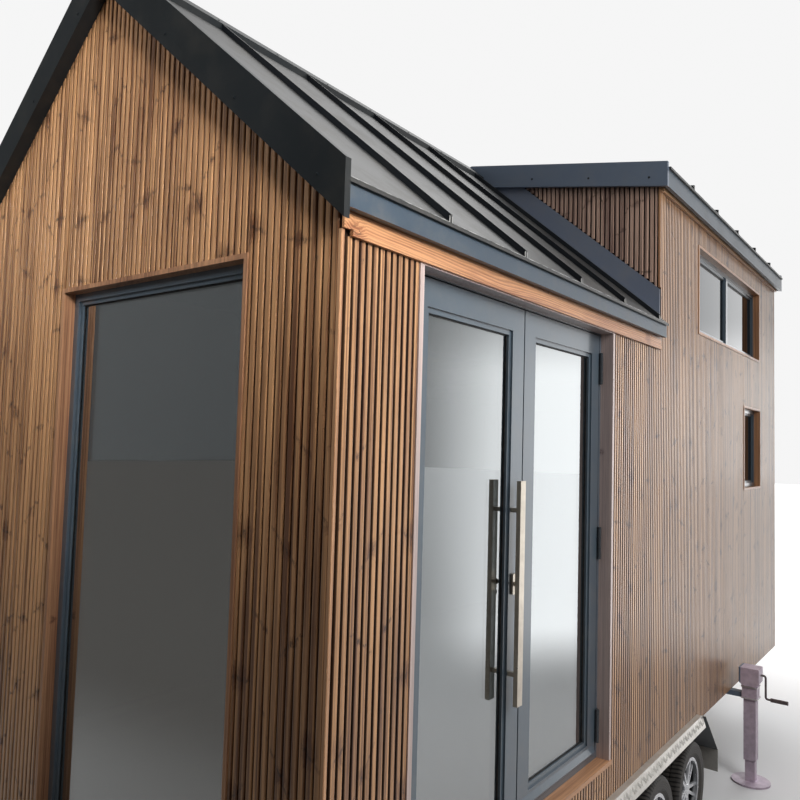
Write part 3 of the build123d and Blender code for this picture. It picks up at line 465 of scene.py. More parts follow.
band_zinc = dusty_material("jack_band_zinc", tone(226, 226, 222), tone(206, 204, 200), dust=0.15,
                           roughness=0.3, patch_size=0.03, metallic=0.6)
sleeve_half, band_wall, band_height = 0.0465, 0.0046, 0.0075
band_places = (0.553, 0.628)
shape = bmesh.new()
for row, side in jack_places:
    leg_low, leg_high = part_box(f"{row}_{side}_jack_leg")
    jack_x, jack_y = (leg_low.x + leg_high.x) / 2, (leg_low.y + leg_high.y) / 2
    for band_z in band_places:
        square_ring(shape, jack_x, jack_y, sleeve_half, band_wall, band_z, band_z + band_height)
shaped_piece("jack_bands", shape, band_zinc, "house")

# Guard folds: the fold along each mudguard's edge, coloured near white over its whole length as a painted
# highlight.
# It is part of the plate and stands a hair above it.
fold_highlight = dusty_material("fold_highlight", tone(253, 253, 253), tone(246, 246, 246), dust=0.05, roughness=0.25,
                            patch_size=0.09, metallic=0.2)
fold_inside, fold_outside, fold_under, fold_over = 0.0015, 0.0035, 0.003, 0.0006
shape = bmesh.new()
for side in (-1, 1):
    eased_block(shape, guard_middle - guard_flat, guard_middle + guard_flat,
                side * (guard_edge - fold_inside), side * (guard_edge + fold_outside),
                guard_top - fold_under, guard_top + fold_over, 0.0012)
shaped_piece("guard_folds", shape, fold_highlight, "house")

# Floors: the main deck on the chassis and the sleeping loft, both in planed spruce boards.
# Boards differ in tone, with fibres, bands and knots. The grain group serves all the timber.
wood, sockets, results = new_group(
    "pine_grain", "ShaderNodeTree",
    {"Across": 0.0, "Depth": 0.0, "Along": 0.0, "Board Width": 0.14, "Knot Spacing": 0.34, "Knot Size": 0.012,
     "Knot Smear": 0.0, "Band Pitch": 0.011, "Band Strength": 0.07, "Board Contrast": 0.35, "Streaks": 1.0,
     "Groove": 0.0, "Groove Start": 0.25, "Groove End": 0.6, "Light": tone(214, 168, 120),
     "Dark": tone(120, 72, 40), "Knot": tone(56, 33, 22)},
    surface_outputs)
across, depth, along, width = (sockets[name] for name in ("Across", "Depth", "Along", "Board Width"))
board = maths(wood, "FLOOR", maths(wood, "DIVIDE", across, width))
board_random = add_node(wood, "ShaderNodeTexWhiteNoise", {"noise_dimensions": "1D"}, W=board).outputs["Value"]
board_shift = 37.0
shifted = plus(wood, along, times(wood, board_random, board_shift))
waver_scale, speckle_scale, bend_scale = (38.0, 38.0), (110.0, 60.0), (9.0, 1.2)
fibre_scale, streak_scale, patch_scale = (520.0, 14.0), (60.0, 0.8), (8.0, 1.5)


def stretched_place(across_scale, along_scale):
    """A place whose noise is drawn out along the grain, by its scales across and along."""
    return vector(wood, times(wood, across, across_scale), times(wood, depth, across_scale),
                  times(wood, shifted, along_scale))


def swing(value, reach):
    """A random value brought about zero and given a reach."""
    return times(wood, minus(wood, value, 0.5), reach)


knot_place = vector(wood, maths(wood, "DIVIDE", across, width),
                    maths(wood, "DIVIDE", shifted, sockets["Knot Spacing"]))
knot_cell = add_node(wood, "ShaderNodeTexVoronoi", {"voronoi_dimensions": "2D"}, Vector=knot_place, Scale=1.0,
                     Randomness=0.95).outputs
offset = add_node(wood, "ShaderNodeVectorMath", {"operation": "SUBTRACT"})
wood.links.new(knot_place, offset.inputs[0])
wood.links.new(knot_cell["Position"], offset.inputs[1])
offset = add_node(wood, "ShaderNodeSeparateXYZ", Vector=offset.outputs[0]).outputs
waver = swing(noise(wood, stretched_place(*waver_scale), 1.0, 3.0), 0.03)
knot_across = plus(wood, times(wood, offset[0], width), waver)
knot_along = plus(wood, times(wood, offset[1], sockets["Knot Spacing"]), waver)
knot_random = add_node(wood, "ShaderNodeSeparateColor", Color=knot_cell["Color"]).outputs
knot_distance = span(wood, knot_across, knot_along)
knot_size = times(wood, plus(wood, 0.3, maths(wood, "POWER", knot_random[0], 2.0)), sockets["Knot Size"])
has_knot = maths(wood, "GREATER_THAN", knot_random[1], 0.25)
knot_share = maths(wood, "DIVIDE", knot_distance, knot_size)
speckle = smooth_step(wood, noise(wood, stretched_place(*speckle_scale), 1.0, 3.0, 0.7), 0.42, 0.58, 0.1, 1.0)
ring_wave = maths(wood, "SINE", maths(wood, "MULTIPLY_ADD", knot_share, 9.5, times(wood, speckle, 1.5)))
knot_ring = times(wood, smooth_step(wood, ring_wave, 0.1, 0.95), smooth_step(wood, knot_share, 1.5, 0.6))
smear_line = size_of(wood, maths(wood, "MULTIPLY_ADD", knot_across, swing(knot_random[2], 3.0), knot_along))
smear_width, smear_half_length = 0.011, 0.075
smear = times(wood, smooth_step(wood, smear_line, smear_width, 0.002),
              smooth_step(wood, size_of(wood, knot_across), smear_half_length, 0.03))
knot_form = maths(wood, "MULTIPLY_ADD", sockets["Knot Smear"], minus(wood, smear, knot_ring), knot_ring)
knot_heart = smooth_step(wood, knot_share, 0.3, 0.1)
knot_core = times(wood, times(wood, larger(wood, knot_form, knot_heart), speckle), has_knot)
knot_halo = times(wood, smooth_step(wood, knot_share, 2.2, 0.5), has_knot)
fibre = noise(wood, stretched_place(*fibre_scale), 1.0, 3.0, 0.6)
bend = noise(wood, stretched_place(*bend_scale), 1.0)
phase = plus(wood, maths(wood, "DIVIDE", across, sockets["Band Pitch"]), times(wood, bend, 6.0))
phase = plus(wood, phase, times(wood, knot_halo, 1.8))
band = maths(wood, "SINE", times(wood, phase, 2 * pi))
streak = noise(wood, stretched_place(*streak_scale), 1.0, 3.0, 0.55)
patch = noise(wood, stretched_place(*patch_scale), 1.0)
shade = plus(wood, swing(streak, times(wood, sockets["Streaks"], 3.0)), 0.36)
for part in (swing(fibre, 0.9), swing(patch, 0.9), times(wood, band, sockets["Band Strength"]),
             swing(board_random, sockets["Board Contrast"]), times(wood, knot_halo, 0.4)):
    shade = plus(wood, shade, part)
# Deeper in the grooves the wood is painted darker, towards the knot colour: painted shade between the ribs.
# The knot cores are their real colour.
shade = maths(wood, "MULTIPLY_ADD", sockets["Groove"], 0.55, shade, clamp=True)
colour = blend_colour(wood, shade, sockets["Light"], sockets["Dark"])
in_groove = smooth_step(wood, sockets["Groove"], sockets["Groove Start"], sockets["Groove End"])
knot_stain_and_groove_shade = larger(wood, times(wood, knot_core, 0.8), times(wood, in_groove, 0.85))
wood.links.new(blend_colour(wood, knot_stain_and_groove_shade, colour, sockets["Knot"]), results["Color"])
wood.links.new(maths(wood, "MULTIPLY_ADD", fibre, 0.15, 0.3), results["Roughness"])
wood.links.new(maths(wood, "MULTIPLY_ADD", band, 0.2, fibre), results["Height"])


def wood_material(title, direction, relief=0.0003, lacquer=0.0, **values):
    """Wood whose grain runs upright (Z) or lengthwise (X), under a coat of lacquer or none."""
    made = new_material(title, Coat_Weight=lacquer, Coat_Roughness=0.2)
    tree = made.node_tree
    x, y, z = axes(tree)
    if direction == "Z":
        across, depth, along = plus(tree, x, y), minus(tree, y, x), z
    else:
        across, depth, along = plus(tree, z, y), y, x
    groove = add_node(tree, "ShaderNodeAttribute", {"attribute_name": "groove"}).outputs["Fac"]
    finish_surface(made, wood, relief, Across=across, Depth=depth, Along=along, Groove=groove, **values)
    return made


floor_boards = wood_material("floor_spruce", "X", Board_Width=0.12, Light=tone(206, 176, 132),
                             Dark=tone(160, 122, 82), Knot_Spacing=0.6, Streaks=0.4)
paint(("floor", "loft_floor"), floor_boards)

# Walls: framed and insulated panels with a dark membrane on their faces and ply inside.
# Each panel stands back from the faces of the slats by the depth of the slats.
rib_depth = 0.012
gable_low, gable_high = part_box("front_gable_wall")
front_x, rear_x = gable_low.x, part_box("rear_gable_wall")[1].x
half_width, cladding_base = gable_high.y, gable_low.z
wall_thickness = gable_high.x - gable_low.x
dormer_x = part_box("dormer_cheeks")[0].x
lip_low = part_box("eaves_boards")[0]
on_plane = 0.0005

membrane = dusty_material("wall_membrane", tone(52, 34, 26), tone(40, 27, 22), dust=0.1, roughness=0.85)
ply_lining = wood_material("ply_lining", "Z", Board_Width=1.22, Light=tone(150, 128, 100),
                           Dark=tone(120, 96, 70), Knot_Spacing=3.0, Streaks=0.3)
for node in ("front_gable_wall", "near_wall_front", "near_wall_over_door", "near_wall_under_door",
             "near_wall_rear", "far_wall", "rear_gable_wall", "dormer_cheeks"):
    mesh = nodes[node].data.copy()
    shell = bmesh.new()
    shell.from_mesh(mesh)
    bmesh.ops.remove_doubles(shell, verts=shell.verts, dist=0.0001)
    faces_along_x = [(front_x, rib_depth), (rear_x, -rib_depth)]
    if node in ("near_wall_rear", "far_wall", "dormer_cheeks"):
        faces_along_x.append((dormer_x, rib_depth))
    for vertex in shell.verts:
        if abs(abs(vertex.co.y) - half_width) < on_plane:
            vertex.co.y -= rib_depth * (1 if vertex.co.y > 0 else -1)
        for plane_x, step in faces_along_x:
            if abs(vertex.co.x - plane_x) < on_plane:
                vertex.co.x += step
    bmesh.ops.recalc_face_normals(shell, faces=shell.faces)
    shell.to_mesh(mesh)
    shell.free()
    mesh.materials.clear()
    mesh.materials.append(membrane)
    mesh.materials.append(ply_lining)
    for face in mesh.polygons:
        inside_walls = [abs(face.center.y) - half_width + wall_thickness,
                        face.center.x - front_x - wall_thickness, face.center.x - rear_x + wall_thickness]
        face.material_index = 1 if min(map(abs, inside_walls)) < 0.001 else 0
    new_piece(node.replace("wall", "panel") + "_core", mesh, None, "house", (node,))

# Cladding: fluted boards of five ribs each in heat-treated pine, standing upright on every wall.
# The ribs are cut off under the roof, over the flashings and round the openings.
rib_pitch, rib_width, ribs_per_board = 0.0282, 0.0205, 5
least_width, least_height = 0.004, 0.01
main_pitch, dormer_pitch = radians(40.7), radians(10.4)
main_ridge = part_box("main_roof_near")[1].z
dormer_ridge = main_ridge + 0.018
main_soffit, dormer_soffit, flashing_cover = 0.088, 0.1, 0.145
board_look = dict(lacquer=0.5, Board_Width=rib_pitch * ribs_per_board, Knot_Size=0.024, Knot_Smear=0.85,
                  Knot_Spacing=0.26, Knot=tone(46, 34, 32), Streaks=1.1)
warm_pine = dict(Light=tone(212, 160, 112), Dark=tone(108, 70, 46))
gable_pine = wood_material("gable_pine", "Z", **board_look, **warm_pine)
# The door side's pine darkens from just under the rib faces: painted shade on the sides of its ribs.
side_pine = wood_material("side_pine", "Z", Groove_Start=0.004, Groove_End=0.08, **board_look, **warm_pine)
# The cheeks take a paler, greyer copy of the same pine: painted sheen standing in for reflected light on
# them.
cheek_pine_painted_sheen = wood_material("cheek_pine_painted_sheen", "Z", Light=tone(206, 172, 152), Dark=tone(118, 92, 84), **board_look)


def rib_form(tree, sockets):
    """One rib, a metre long, rounded on its edges, with its inset written to the groove attribute."""
    profile = add_node(tree, "GeometryNodeCurvePrimitiveQuadrilateral", Width=sockets["Rib Width"],
                       Height=times(tree, sockets["Rib Depth"], 2.0))
    rounded = add_node(tree, "GeometryNodeFilletCurve", {"mode": "POLY"}, Curve=profile.outputs[0],
                       Radius=sockets["Rounding"], Count=2)
    filled = add_node(tree, "GeometryNodeFillCurve", {"mode": "NGONS"}, Curve=rounded.outputs[0])
    upward = add_node(tree, "GeometryNodeExtrudeMesh", Mesh=filled.outputs[0], Offset=(0, 0, 1),
                      Individual=False, Offset_Scale=1.0)
    turned_over = add_node(tree, "GeometryNodeFlipFaces", Mesh=filled.outputs[0])
    closed = add_node(tree, "GeometryNodeJoinGeometry")
    tree.links.new(upward.outputs[0], closed.inputs[0])
    tree.links.new(turned_over.outputs[0], closed.inputs[0])
    sealed = add_node(tree, "GeometryNodeMergeByDistance", Geometry=closed.outputs[0], Distance=0.00001)
    place = add_node(tree, "GeometryNodeInputPosition").outputs[0]
    height = add_node(tree, "ShaderNodeSeparateXYZ", Vector=place).outputs[1]
    inset = maths(tree, "ADD", maths(tree, "DIVIDE", height, sockets["Rib Depth"]), 1.0, clamp=True)
    marked = add_node(tree, "GeometryNodeStoreNamedAttribute", {"data_type": "FLOAT", "domain": "POINT"},
                      Geometry=sealed.outputs[0], Name="groove", Value=inset)
    return marked.outputs[0]


rib_sizes = {"Rib Width": rib_width, "Rib Depth": rib_depth, "Rounding": 0.0034}
slats = scatter_tree("rib_field", rib_sizes, rib_form, stretched=True)


def main_roof(distance):
    """Height of the main roof surface at a distance from the ridge line."""
    return main_ridge - tan(main_pitch) * abs(distance)


def dormer_roof(distance):
    """Height of the dormer roof surface at a distance from the ridge line."""
    return dormer_ridge - tan(dormer_pitch) * abs(distance)


def under_main_roof(distance):
    """Where the slats of the front gable end."""
    return main_roof(distance) - main_soffit


def under_dormer_roof(distance):
    """Where the slats of the rear gable and the dormer's cheeks end."""
    return dormer_roof(distance) - dormer_soffit


def long_wall_top(x):
    """Where the slats of a long wall end: under the eaves lip or under the dormer roof."""
    return lip_low.z if x < dormer_x else under_dormer_roof(half_width)


def wall_foot(distance):
    """Where the slats of the four walls start, at every distance."""
    return cladding_base


def over_flashing(distance):
    """Where the slats of the dormer's cheeks start."""
    return main_roof(distance) + flashing_cover


def rib_wall(name, material, start, end, bottom, top, holes, place, turn, first_rib):
    """Ribs on one wall between two distances along it, cut round its openings.
    bottom and top give the heights at a distance; place turns a distance into X and Y."""
    points, stretches = [], []
    cuts = [start, end] + [edge for hole in holes for edge in hole[:2]]
    index = 0
    while first_rib + index * rib_pitch < end:
        rib_start = first_rib + index * rib_pitch
        rib_end = rib_start + rib_width
        index += 1
        edges = sorted({rib_start, rib_end} | {cut for cut in cuts if rib_start < cut < rib_end})
        for left, right in zip(edges, edges[1:]):
            middle = (left + right) / 2
            if right - left < least_width or not start < middle < end:
                continue
            runs = [(max(bottom(left), bottom(right)), min(top(left), top(right)))]
            for first, last, hole_base, hole_top in holes:
                if first < middle < last:
                    runs = [run for low, high in runs
                            for run in ((low, min(high, hole_base)), (max(low, hole_top), high))]
            for low, high in runs:
                if high - low > least_height:
                    points.append((*place(middle), low))
                    stretches.append(((right - left) / rib_width, 1.0, high - low))
    turns = [(0.0, 0.0, turn)] * len(points)
    grow(name, slats, points, {"turn": turns, "stretch": stretches}, material, "house")


# Openings in the slats: each is its first and last distance along the wall, its foot and its head.
# The door's runs up to the eaves lip; the windows' run to the outside of their linings.
door_low, door_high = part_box("door_trim")
sill_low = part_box("door_sill")[0]
trim_low, trim_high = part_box("window_trims")
door_hole = (door_low.x, door_high.x, sill_low.z, lip_low.z)
gable_window = (-half_width + 0.365, -half_width + 1.403, trim_low.z, trim_low.z + 1.956)
upper_window = (rear_x - 2.313, rear_x - 0.601, trim_high.z - 0.559, trim_high.z)
lower_window = (rear_x - 1.125, rear_x - 0.572, cladding_base + 1.345, cladding_base + 1.970)
corner_strip, rib_after_corner, rib_gap = 0.013, 0.0244, 0.001
gable_start, gable_end = -half_width + corner_strip, half_width - corner_strip
rib_wall("front_gable_ribs", gable_pine, gable_start, gable_end, wall_foot, under_main_roof, [gable_window],
         lambda y: (front_x + rib_depth, y), -pi / 2, gable_start + rib_gap)
rib_wall("rear_gable_ribs", gable_pine, gable_start, gable_end, wall_foot, under_dormer_roof, [],
         lambda y: (rear_x - rib_depth, y), pi / 2, gable_start + rib_gap)
long_start, long_end = front_x + rib_after_corner, rear_x - rib_after_corner
rib_wall("near_wall_ribs", side_pine, long_start, long_end, wall_foot, long_wall_top,
         [door_hole, upper_window, lower_window], lambda x: (x, -half_width + rib_depth), 0.0, long_start)
rib_wall("far_wall_ribs", side_pine, long_start, long_end, wall_foot, long_wall_top,
         [upper_window, lower_window], lambda x: (x, half_width - rib_depth), pi, long_start)
cheek_start, cheek_end = 0.2, half_width - 0.02
for side_name, side in (("near", -1), ("far", 1)):
    rib_wall(f"{side_name}_cheek_ribs", cheek_pine_painted_sheen, cheek_start, cheek_end, over_flashing, under_dormer_roof,
             [], lambda y: (dormer_x + rib_depth, side * y), -pi / 2, cheek_start)

# Corner strips: a square pine strip stands in each outer corner, where two runs of slats meet.
# It is nailed to the panel, planed on its faces and eased on its edges.
strip_pine = wood_material("strip_pine", "Z", Board_Width=0.4, Knot_Spacing=0.7, Light=tone(214, 164, 122),
                           Dark=tone(122, 78, 54), Streaks=1.0, lacquer=0.5)
behind_lip, over_cheek_flashing = 0.016, 0.02
strip_spans = ((front_x, front_x + corner_strip, cladding_base, lip_low.z + behind_lip),
               (rear_x - corner_strip, rear_x, cladding_base, under_dormer_roof(half_width)),
               (dormer_x, dormer_x + corner_strip, over_flashing(half_width) + over_cheek_flashing,
                under_dormer_roof(half_width)))
shape = bmesh.new()
for side in (-1, 1):
    for first, last, foot, head in strip_spans:
        eased_block(shape, first, last, side * (half_width - corner_strip), side * half_width, foot, head)
shaped_piece("corner_strips", shape, strip_pine, "house")

# Windows: fixed and sliding panes in anthracite aluminium, set back in pine linings.
# The linings stand flush with the slats; the frames are powder-coated in a fine satin.
lining_look = dict(Board_Width=0.5, Knot_Spacing=0.5, Band_Pitch=0.008)
window_pine = dict(Light=tone(200, 150, 112), Dark=tone(116, 76, 56), Streaks=0.7)
trim_upright = wood_material("trim_pine_upright", "Z", **lining_look, **window_pine)
trim_level = wood_material("trim_pine_level", "X", **lining_look, **window_pine)
satin = dusty_material("anthracite_satin", tone(80, 93, 104), tone(86, 99, 110), dust=0.1, roughness=0.3,
                       spread=0.08, patch_size=0.3, grit=0.0008, relief=0.00003, Coat_Weight=0.6,
                       Coat_Roughness=0.12)
paint(("window_trims",), trim_upright)
paint(("window_frames",), satin)
clear_tint, side_pane_shade = (0.56, 0.59, 0.6, 1), (0.02, 0.03, 0.04, 1)
behind_door_x, side_pane_y = -0.5, 1.0
glass = new_material("window_glass", Base_Color=clear_tint, Metallic=0.6, IOR=1.52, Transmission_Weight=1.0)
tree, shader = workings(glass)
place = place_on(tree)
film = times(tree, smooth_step(tree, noise(tree, place, 3.0, 6.0, 0.7), 0.5, 0.8), 0.05)
tree.links.new(plus(tree, film, 0.01), shader.inputs["Roughness"])
x, y, _ = axes(tree)
# Panes in the side walls behind the door are coloured near black: painted shade in those windows.
side_pane = times(tree, maths(tree, "GREATER_THAN", x, behind_door_x),
                  maths(tree, "GREATER_THAN", size_of(tree, y), side_pane_y))
tree.links.new(blend_colour(tree, side_pane, clear_tint, side_pane_shade), shader.inputs["Base Color"])
ripple = add_node(tree, "ShaderNodeBump", Distance=0.0006, Height=noise(tree, place, 1.6, 1.0))
tree.links.new(ripple.outputs[0], shader.inputs["Normal"])
paint(("window_glass", "left_door_glass", "right_door_glass"), glass)

# Door: a pair of glazed aluminium leaves in a rebated frame, lined with pine like the windows.
# Long square pull handles in brushed steel stand on short arms at the meeting stiles.
# The lining is coloured paler and greyer than the window pine: painted sheen.
door_lining = wood_material("door_lining_pine_painted_sheen", "Z", Light=tone(214, 192, 184), Dark=tone(150, 132, 130),
                            Streaks=0.5, lacquer=0.3, **lining_look)
paint(("door_trim",), door_lining)
paint(("door_sill",), trim_level)
paint(("door_frame", "left_door_leaf", "right_door_leaf"), satin)
hinge_coat = dusty_material("hinge_coat", tone(48, 54, 60), tone(58, 64, 70), dust=0.15, roughness=0.35,
                            patch_size=0.02)
paint(("door_hinges",), hinge_coat)
handle_steel = dusty_material("handle_steel", tone(214, 205, 190), tone(200, 190, 176), dust=0.1,
                              roughness=0.3, patch_size=0.05, metallic=0.75, relief=0.00002)
paint(("pull_handles",), handle_steel)

# Glazing gaskets: black rubber wedges pressed in between each pane and its bead, all the way round.
# They are cut square at the corners and stand a little proud of the glass.
gasket_rubber = dusty_material("gasket_rubber", tone(24, 25, 27), tone(32, 33, 35), dust=0.15, roughness=0.5,
                               patch_size=0.1)
gasket_width, gasket_proud, gasket_ease = 0.005, 0.003, 0.0008


def gasket(shape, low, high, out):
    """Adds a rectangular ring on a pane's face. low and high are corners; out is the face's direction."""
    flat = 0 if abs(out[0]) > 0 else 1
    across = 1 - flat
    face = (high if out[flat] > 0 else low)[flat]
    for start, end, z0, z1 in ((low[across], high[across], low[2], low[2] + gasket_width),
                               (low[across], high[across], high[2] - gasket_width, high[2]),
                               (low[across], low[across] + gasket_width, low[2], high[2]),
                               (high[across] - gasket_width, high[across], low[2], high[2])):
        spans = {flat: (face, face + out[flat] * gasket_proud), across: (start, end)}
        eased_block(shape, *spans[0], *spans[1], z0, z1, gasket_ease)


for leaf in ("left", "right"):
    shape = bmesh.new()
    pane_low, pane_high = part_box(f"{leaf}_door_glass")
    for out in ((0, -1), (0, 1)):
        gasket(shape, pane_low, pane_high, out)
    shaped_piece(f"{leaf}_door_gaskets", shape, gasket_rubber, f"{leaf}_door")
shape = bmesh.new()
frame_width, pane_depth = 0.058, 0.02
glass_low, glass_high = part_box("window_glass")
first, last, foot, head = gable_window
gasket(shape, (glass_low.x, first + frame_width, foot + frame_width),
       (glass_low.x + pane_depth, last - frame_width, head - frame_width), (-1, 0))
for side in (-1, 1):
    outside, inside = side * glass_high.y, side * (glass_high.y - pane_depth)
    for first, last, foot, head in (upper_window, lower_window):
        gasket(shape, (first + frame_width, min(outside, inside), foot + frame_width),
               (last - frame_width, max(outside, inside), head - frame_width), (0, side))
shaped_piece("window_gaskets", shape, gasket_rubber, "house")

# Lock key: a cut key left in the outer cylinder, with its ring and a second key hanging from it.
# Both are nickel-plated brass.
key_nickel = dusty_material("key_nickel", tone(190, 186, 176), tone(170, 166, 156), dust=0.1, roughness=0.28,
                            patch_size=0.01, metallic=0.9)
lock_x, lock_z, lock_face_y = -2.324, 1.682, -1.147
key_thickness, key_ease = 0.0024, 0.0004
blade_reach, blade_rise = 0.012, 0.004
bow_radius, bow_y = 0.0115, lock_face_y - 0.021
ring_radius, ring_wire, ring_y, ring_z = 0.0125, 0.0009, lock_face_y - 0.024, lock_z - 0.018
spare_x, spare_half, spare_radius, spare_z = lock_x + 0.003, 0.004, 0.011, lock_z - 0.041
spare_tip_z, spare_shoulder_z = lock_z - 0.078, lock_z - 0.051


def disc(shape, centre, radius, thickness, axis, sides=20):
    """Adds a short cylinder with eased rims along an axis."""
    turn = Vector((0, 0, 1)).rotation_difference(Vector(axis)).to_matrix().to_4x4()
    fresh = bmesh.ops.create_cone(shape, cap_ends=True, segments=sides, radius1=radius, radius2=radius,
                                  depth=thickness, matrix=Matrix.Translation(Vector(centre)) @ turn)["verts"]
    rims = [edge for edge in {edge for vertex in fresh for edge in vertex.link_edges}
            if any(len(face.verts) > 4 for face in edge.link_faces)]
    bmesh.ops.bevel(shape, geom=rims, offset=thickness * 0.2, segments=1, affect="EDGES", clamp_overlap=True)


def key_ring(shape, centre, radius, wire, sides=24, rim=8):
    """Adds a wire ring that hangs at right angles to the bow it passes through."""
    rows = []
    for step in range(sides):
        angle = 2 * pi * step / sides
        out = Vector((cos(angle), 0, sin(angle)))
        middle = Vector(centre) + out * radius
        round_wire = [2 * pi * k / rim for k in range(rim)]
        rows.append([shape.verts.new(middle + out * wire * cos(turn) + Vector((0, wire * sin(turn), 0)))
                     for turn in round_wire])
    for row, next_row in zip(rows, rows[1:] + rows[:1]):
        for k in range(rim):
            after = (k + 1) % rim
            shape.faces.new((row[k], next_row[k], next_row[after], row[after]))


shape = bmesh.new()
eased_block(shape, lock_x - key_thickness / 2, lock_x + key_thickness / 2, lock_face_y - blade_reach,
            lock_face_y, lock_z - blade_rise, lock_z + blade_rise, key_ease)
disc(shape, (lock_x, bow_y, lock_z), bow_radius, key_thickness, (1, 0, 0))
key_ring(shape, (lock_x, ring_y, ring_z), ring_radius, ring_wire)
disc(shape, (spare_x, ring_y, spare_z), spare_radius, key_thickness, (0, 1, 0))
eased_block(shape, spare_x - spare_half, spare_x + spare_half, ring_y - key_thickness / 2,
            ring_y + key_thickness / 2, spare_tip_z, spare_shoulder_z, key_ease)
shaped_piece("lock_keys", shape, key_nickel, "left_door")

# Hinge rings: thin nylon washers between the barrels of each hinge.
# They take the wear where the barrels turn on each other.
hinge_places, hinge_y, hinge_heights = (-3.0105, -1.5255), -1.1433, (0.943, 1.765, 2.571)
washer_radius, washer_thickness, washer_step = 0.0094, 0.0016, 0.0242
shape = bmesh.new()
for hinge_x in hinge_places:
    for hinge_z in hinge_heights:
        for step in (-washer_step, washer_step):
            disc(shape, (hinge_x, hinge_y, hinge_z + step), washer_radius, washer_thickness, (0, 0, 1), 24)
shaped_piece("hinge_rings", shape, gasket_rubber, "house")

# Eaves boards: rough-sawn pine along the wall heads with a lip over the ends of the slats.
# The saw left fine marks across the grain, and round knots show in the face.
eaves_pine = wood_material("eaves_pine", "X", relief=0.0006, Board_Width=0.2, Knot_Spacing=0.28,
                           Band_Pitch=0.009, Band_Strength=0.3, Knot_Size=0.022, Light=tone(214, 158, 112),
                           Dark=tone(142, 86, 56), Knot=tone(92, 62, 44), Streaks=0.7)
paint(("eaves_boards",), eaves_pine)

# Roof: standing-seam sheets of coated steel with folded ridge caps, verge boards and fascias.
# The coating is anthracite with a fine grain, chalky with dust on the pans.
sheet_coat = dusty_material("roof_sheet_coat", tone(49, 50, 50), tone(56, 56, 55), dust=0.3, roughness=0.42,
                            patch_size=0.5, grit=0.0012, dust_colour=tone(112, 108, 101), relief=0.00005)
tree, shader = workings(sheet_coat)
# The sides of the standing seams, facing either end, are painted dark blue-grey: painted shade.
seam_side_shade = smooth_step(tree, size_of(tree, axes(tree, "Normal")[0]), 0.4, 0.7, 0.0, 0.85)
overlay(tree, shader, seam_side_shade, tone(26, 31, 38))
# The folded trims are all the same anthracite coating, each given its own tone: painted shade on the front
# verges, ridge caps and screws, and painted light on the fascias, flashings and dormer verges.
folded_look = dict(patch_size=0.4, grit=0.001, relief=0.00004)
verge_coat = dusty_material("front_verge_coat_painted_shade", tone(22, 27, 30), tone(27, 32, 35), dust=0.04, roughness=0.45,
                            **folded_look)
fascia_coat_painted_light = dusty_material("fascia_coat_painted_light", tone(62, 75, 88), tone(70, 83, 95), dust=0.15, roughness=0.4,
                             **folded_look)
flashing_coat_painted_light = dusty_material("flashing_coat_painted_light", tone(116, 124, 140), tone(122, 130, 144), dust=0.15,
                               roughness=0.34, **folded_look)
dormer_verge_coat_painted_light = dusty_material("dormer_verge_coat_painted_light", tone(102, 114, 132), tone(108, 120, 136), dust=0.1,
                                   roughness=0.34, **folded_look)
paint(("main_roof_near", "main_roof_far", "dormer_roof_near", "dormer_roof_far"), sheet_coat)
paint(("front_verge_boards", "ridge_caps"), verge_coat)
paint(("eaves_fascias",), fascia_coat_painted_light)
paint(("dormer_verge_boards",), dormer_verge_coat_painted_light)
paint(("cheek_flashings",), flashing_coat_painted_light)


# Roof screws: domed painted screws along the verge boards, and rivets down both ridge caps.
# Each stands on the sheet where the fold behind it gives it something to bite on.
def domed_head(tree, sockets):
    """One low domed head on a thin flange."""
    dome = add_node(tree, "GeometryNodeMeshUVSphere", Segments=12, Rings=6, Radius=1.0)
    flange = add_node(tree, "GeometryNodeMeshCylinder", Vertices=12, Radius=1.45, Depth=0.3)
    size = vector(tree, sockets["Head Radius"], sockets["Head Radius"], sockets["Head Height"])
    joined = add_node(tree, "GeometryNodeJoinGeometry")
    tree.links.new(dome.outputs[0], joined.inputs[0])
    tree.links.new(flange.outputs[0], joined.inputs[0])
    return add_node(tree, "GeometryNodeTransform", Geometry=joined.outputs[0], Scale=size).outputs[0]


heads = scatter_tree("domed_heads", {"Head Radius": 0.0045, "Head Height": 0.003}, domed_head)
screw_reaches, screw_drop = (0.13, 0.43, 0.79, 1.14), 0.065
rivet_reach, rivet_spacing, cap_rise = 0.07, 0.3, 0.03
verge_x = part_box("front_verge_boards")[0].x
dormer_verge_low, dormer_verge_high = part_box("dormer_verge_boards")
facing_front, facing_back = (0, -pi / 2, 0), (0, pi / 2, 0)
verge_rows = ((verge_x, main_roof, screw_reaches, facing_front),
              (dormer_verge_high.x, dormer_roof, screw_reaches, facing_back),
              (dormer_verge_low.x, dormer_roof, screw_reaches[1:], facing_front))
cap_rows = ((verge_x, dormer_x, main_roof, main_pitch), (dormer_x, rear_x, dormer_roof, dormer_pitch))
points, turns = [], []
for side in (-1, 1):
    for face_x, roof, reaches, turn in verge_rows:
        for reach in reaches:
            points.append((face_x, side * reach, roof(reach) - screw_drop))
            turns.append(turn)
    for start, end, roof, pitch in cap_rows:
        rivet_count = int((end - start) / rivet_spacing)
        for index in range(rivet_count):
            rivet_x = start + (index + 0.5) * (end - start) / rivet_count
            points.append((rivet_x, side * rivet_reach, roof(rivet_reach) + cap_rise))
            turns.append((side * -pitch, 0, 0))
grow("roof_screws", heads, points, {"turn": turns}, verge_coat, "house")

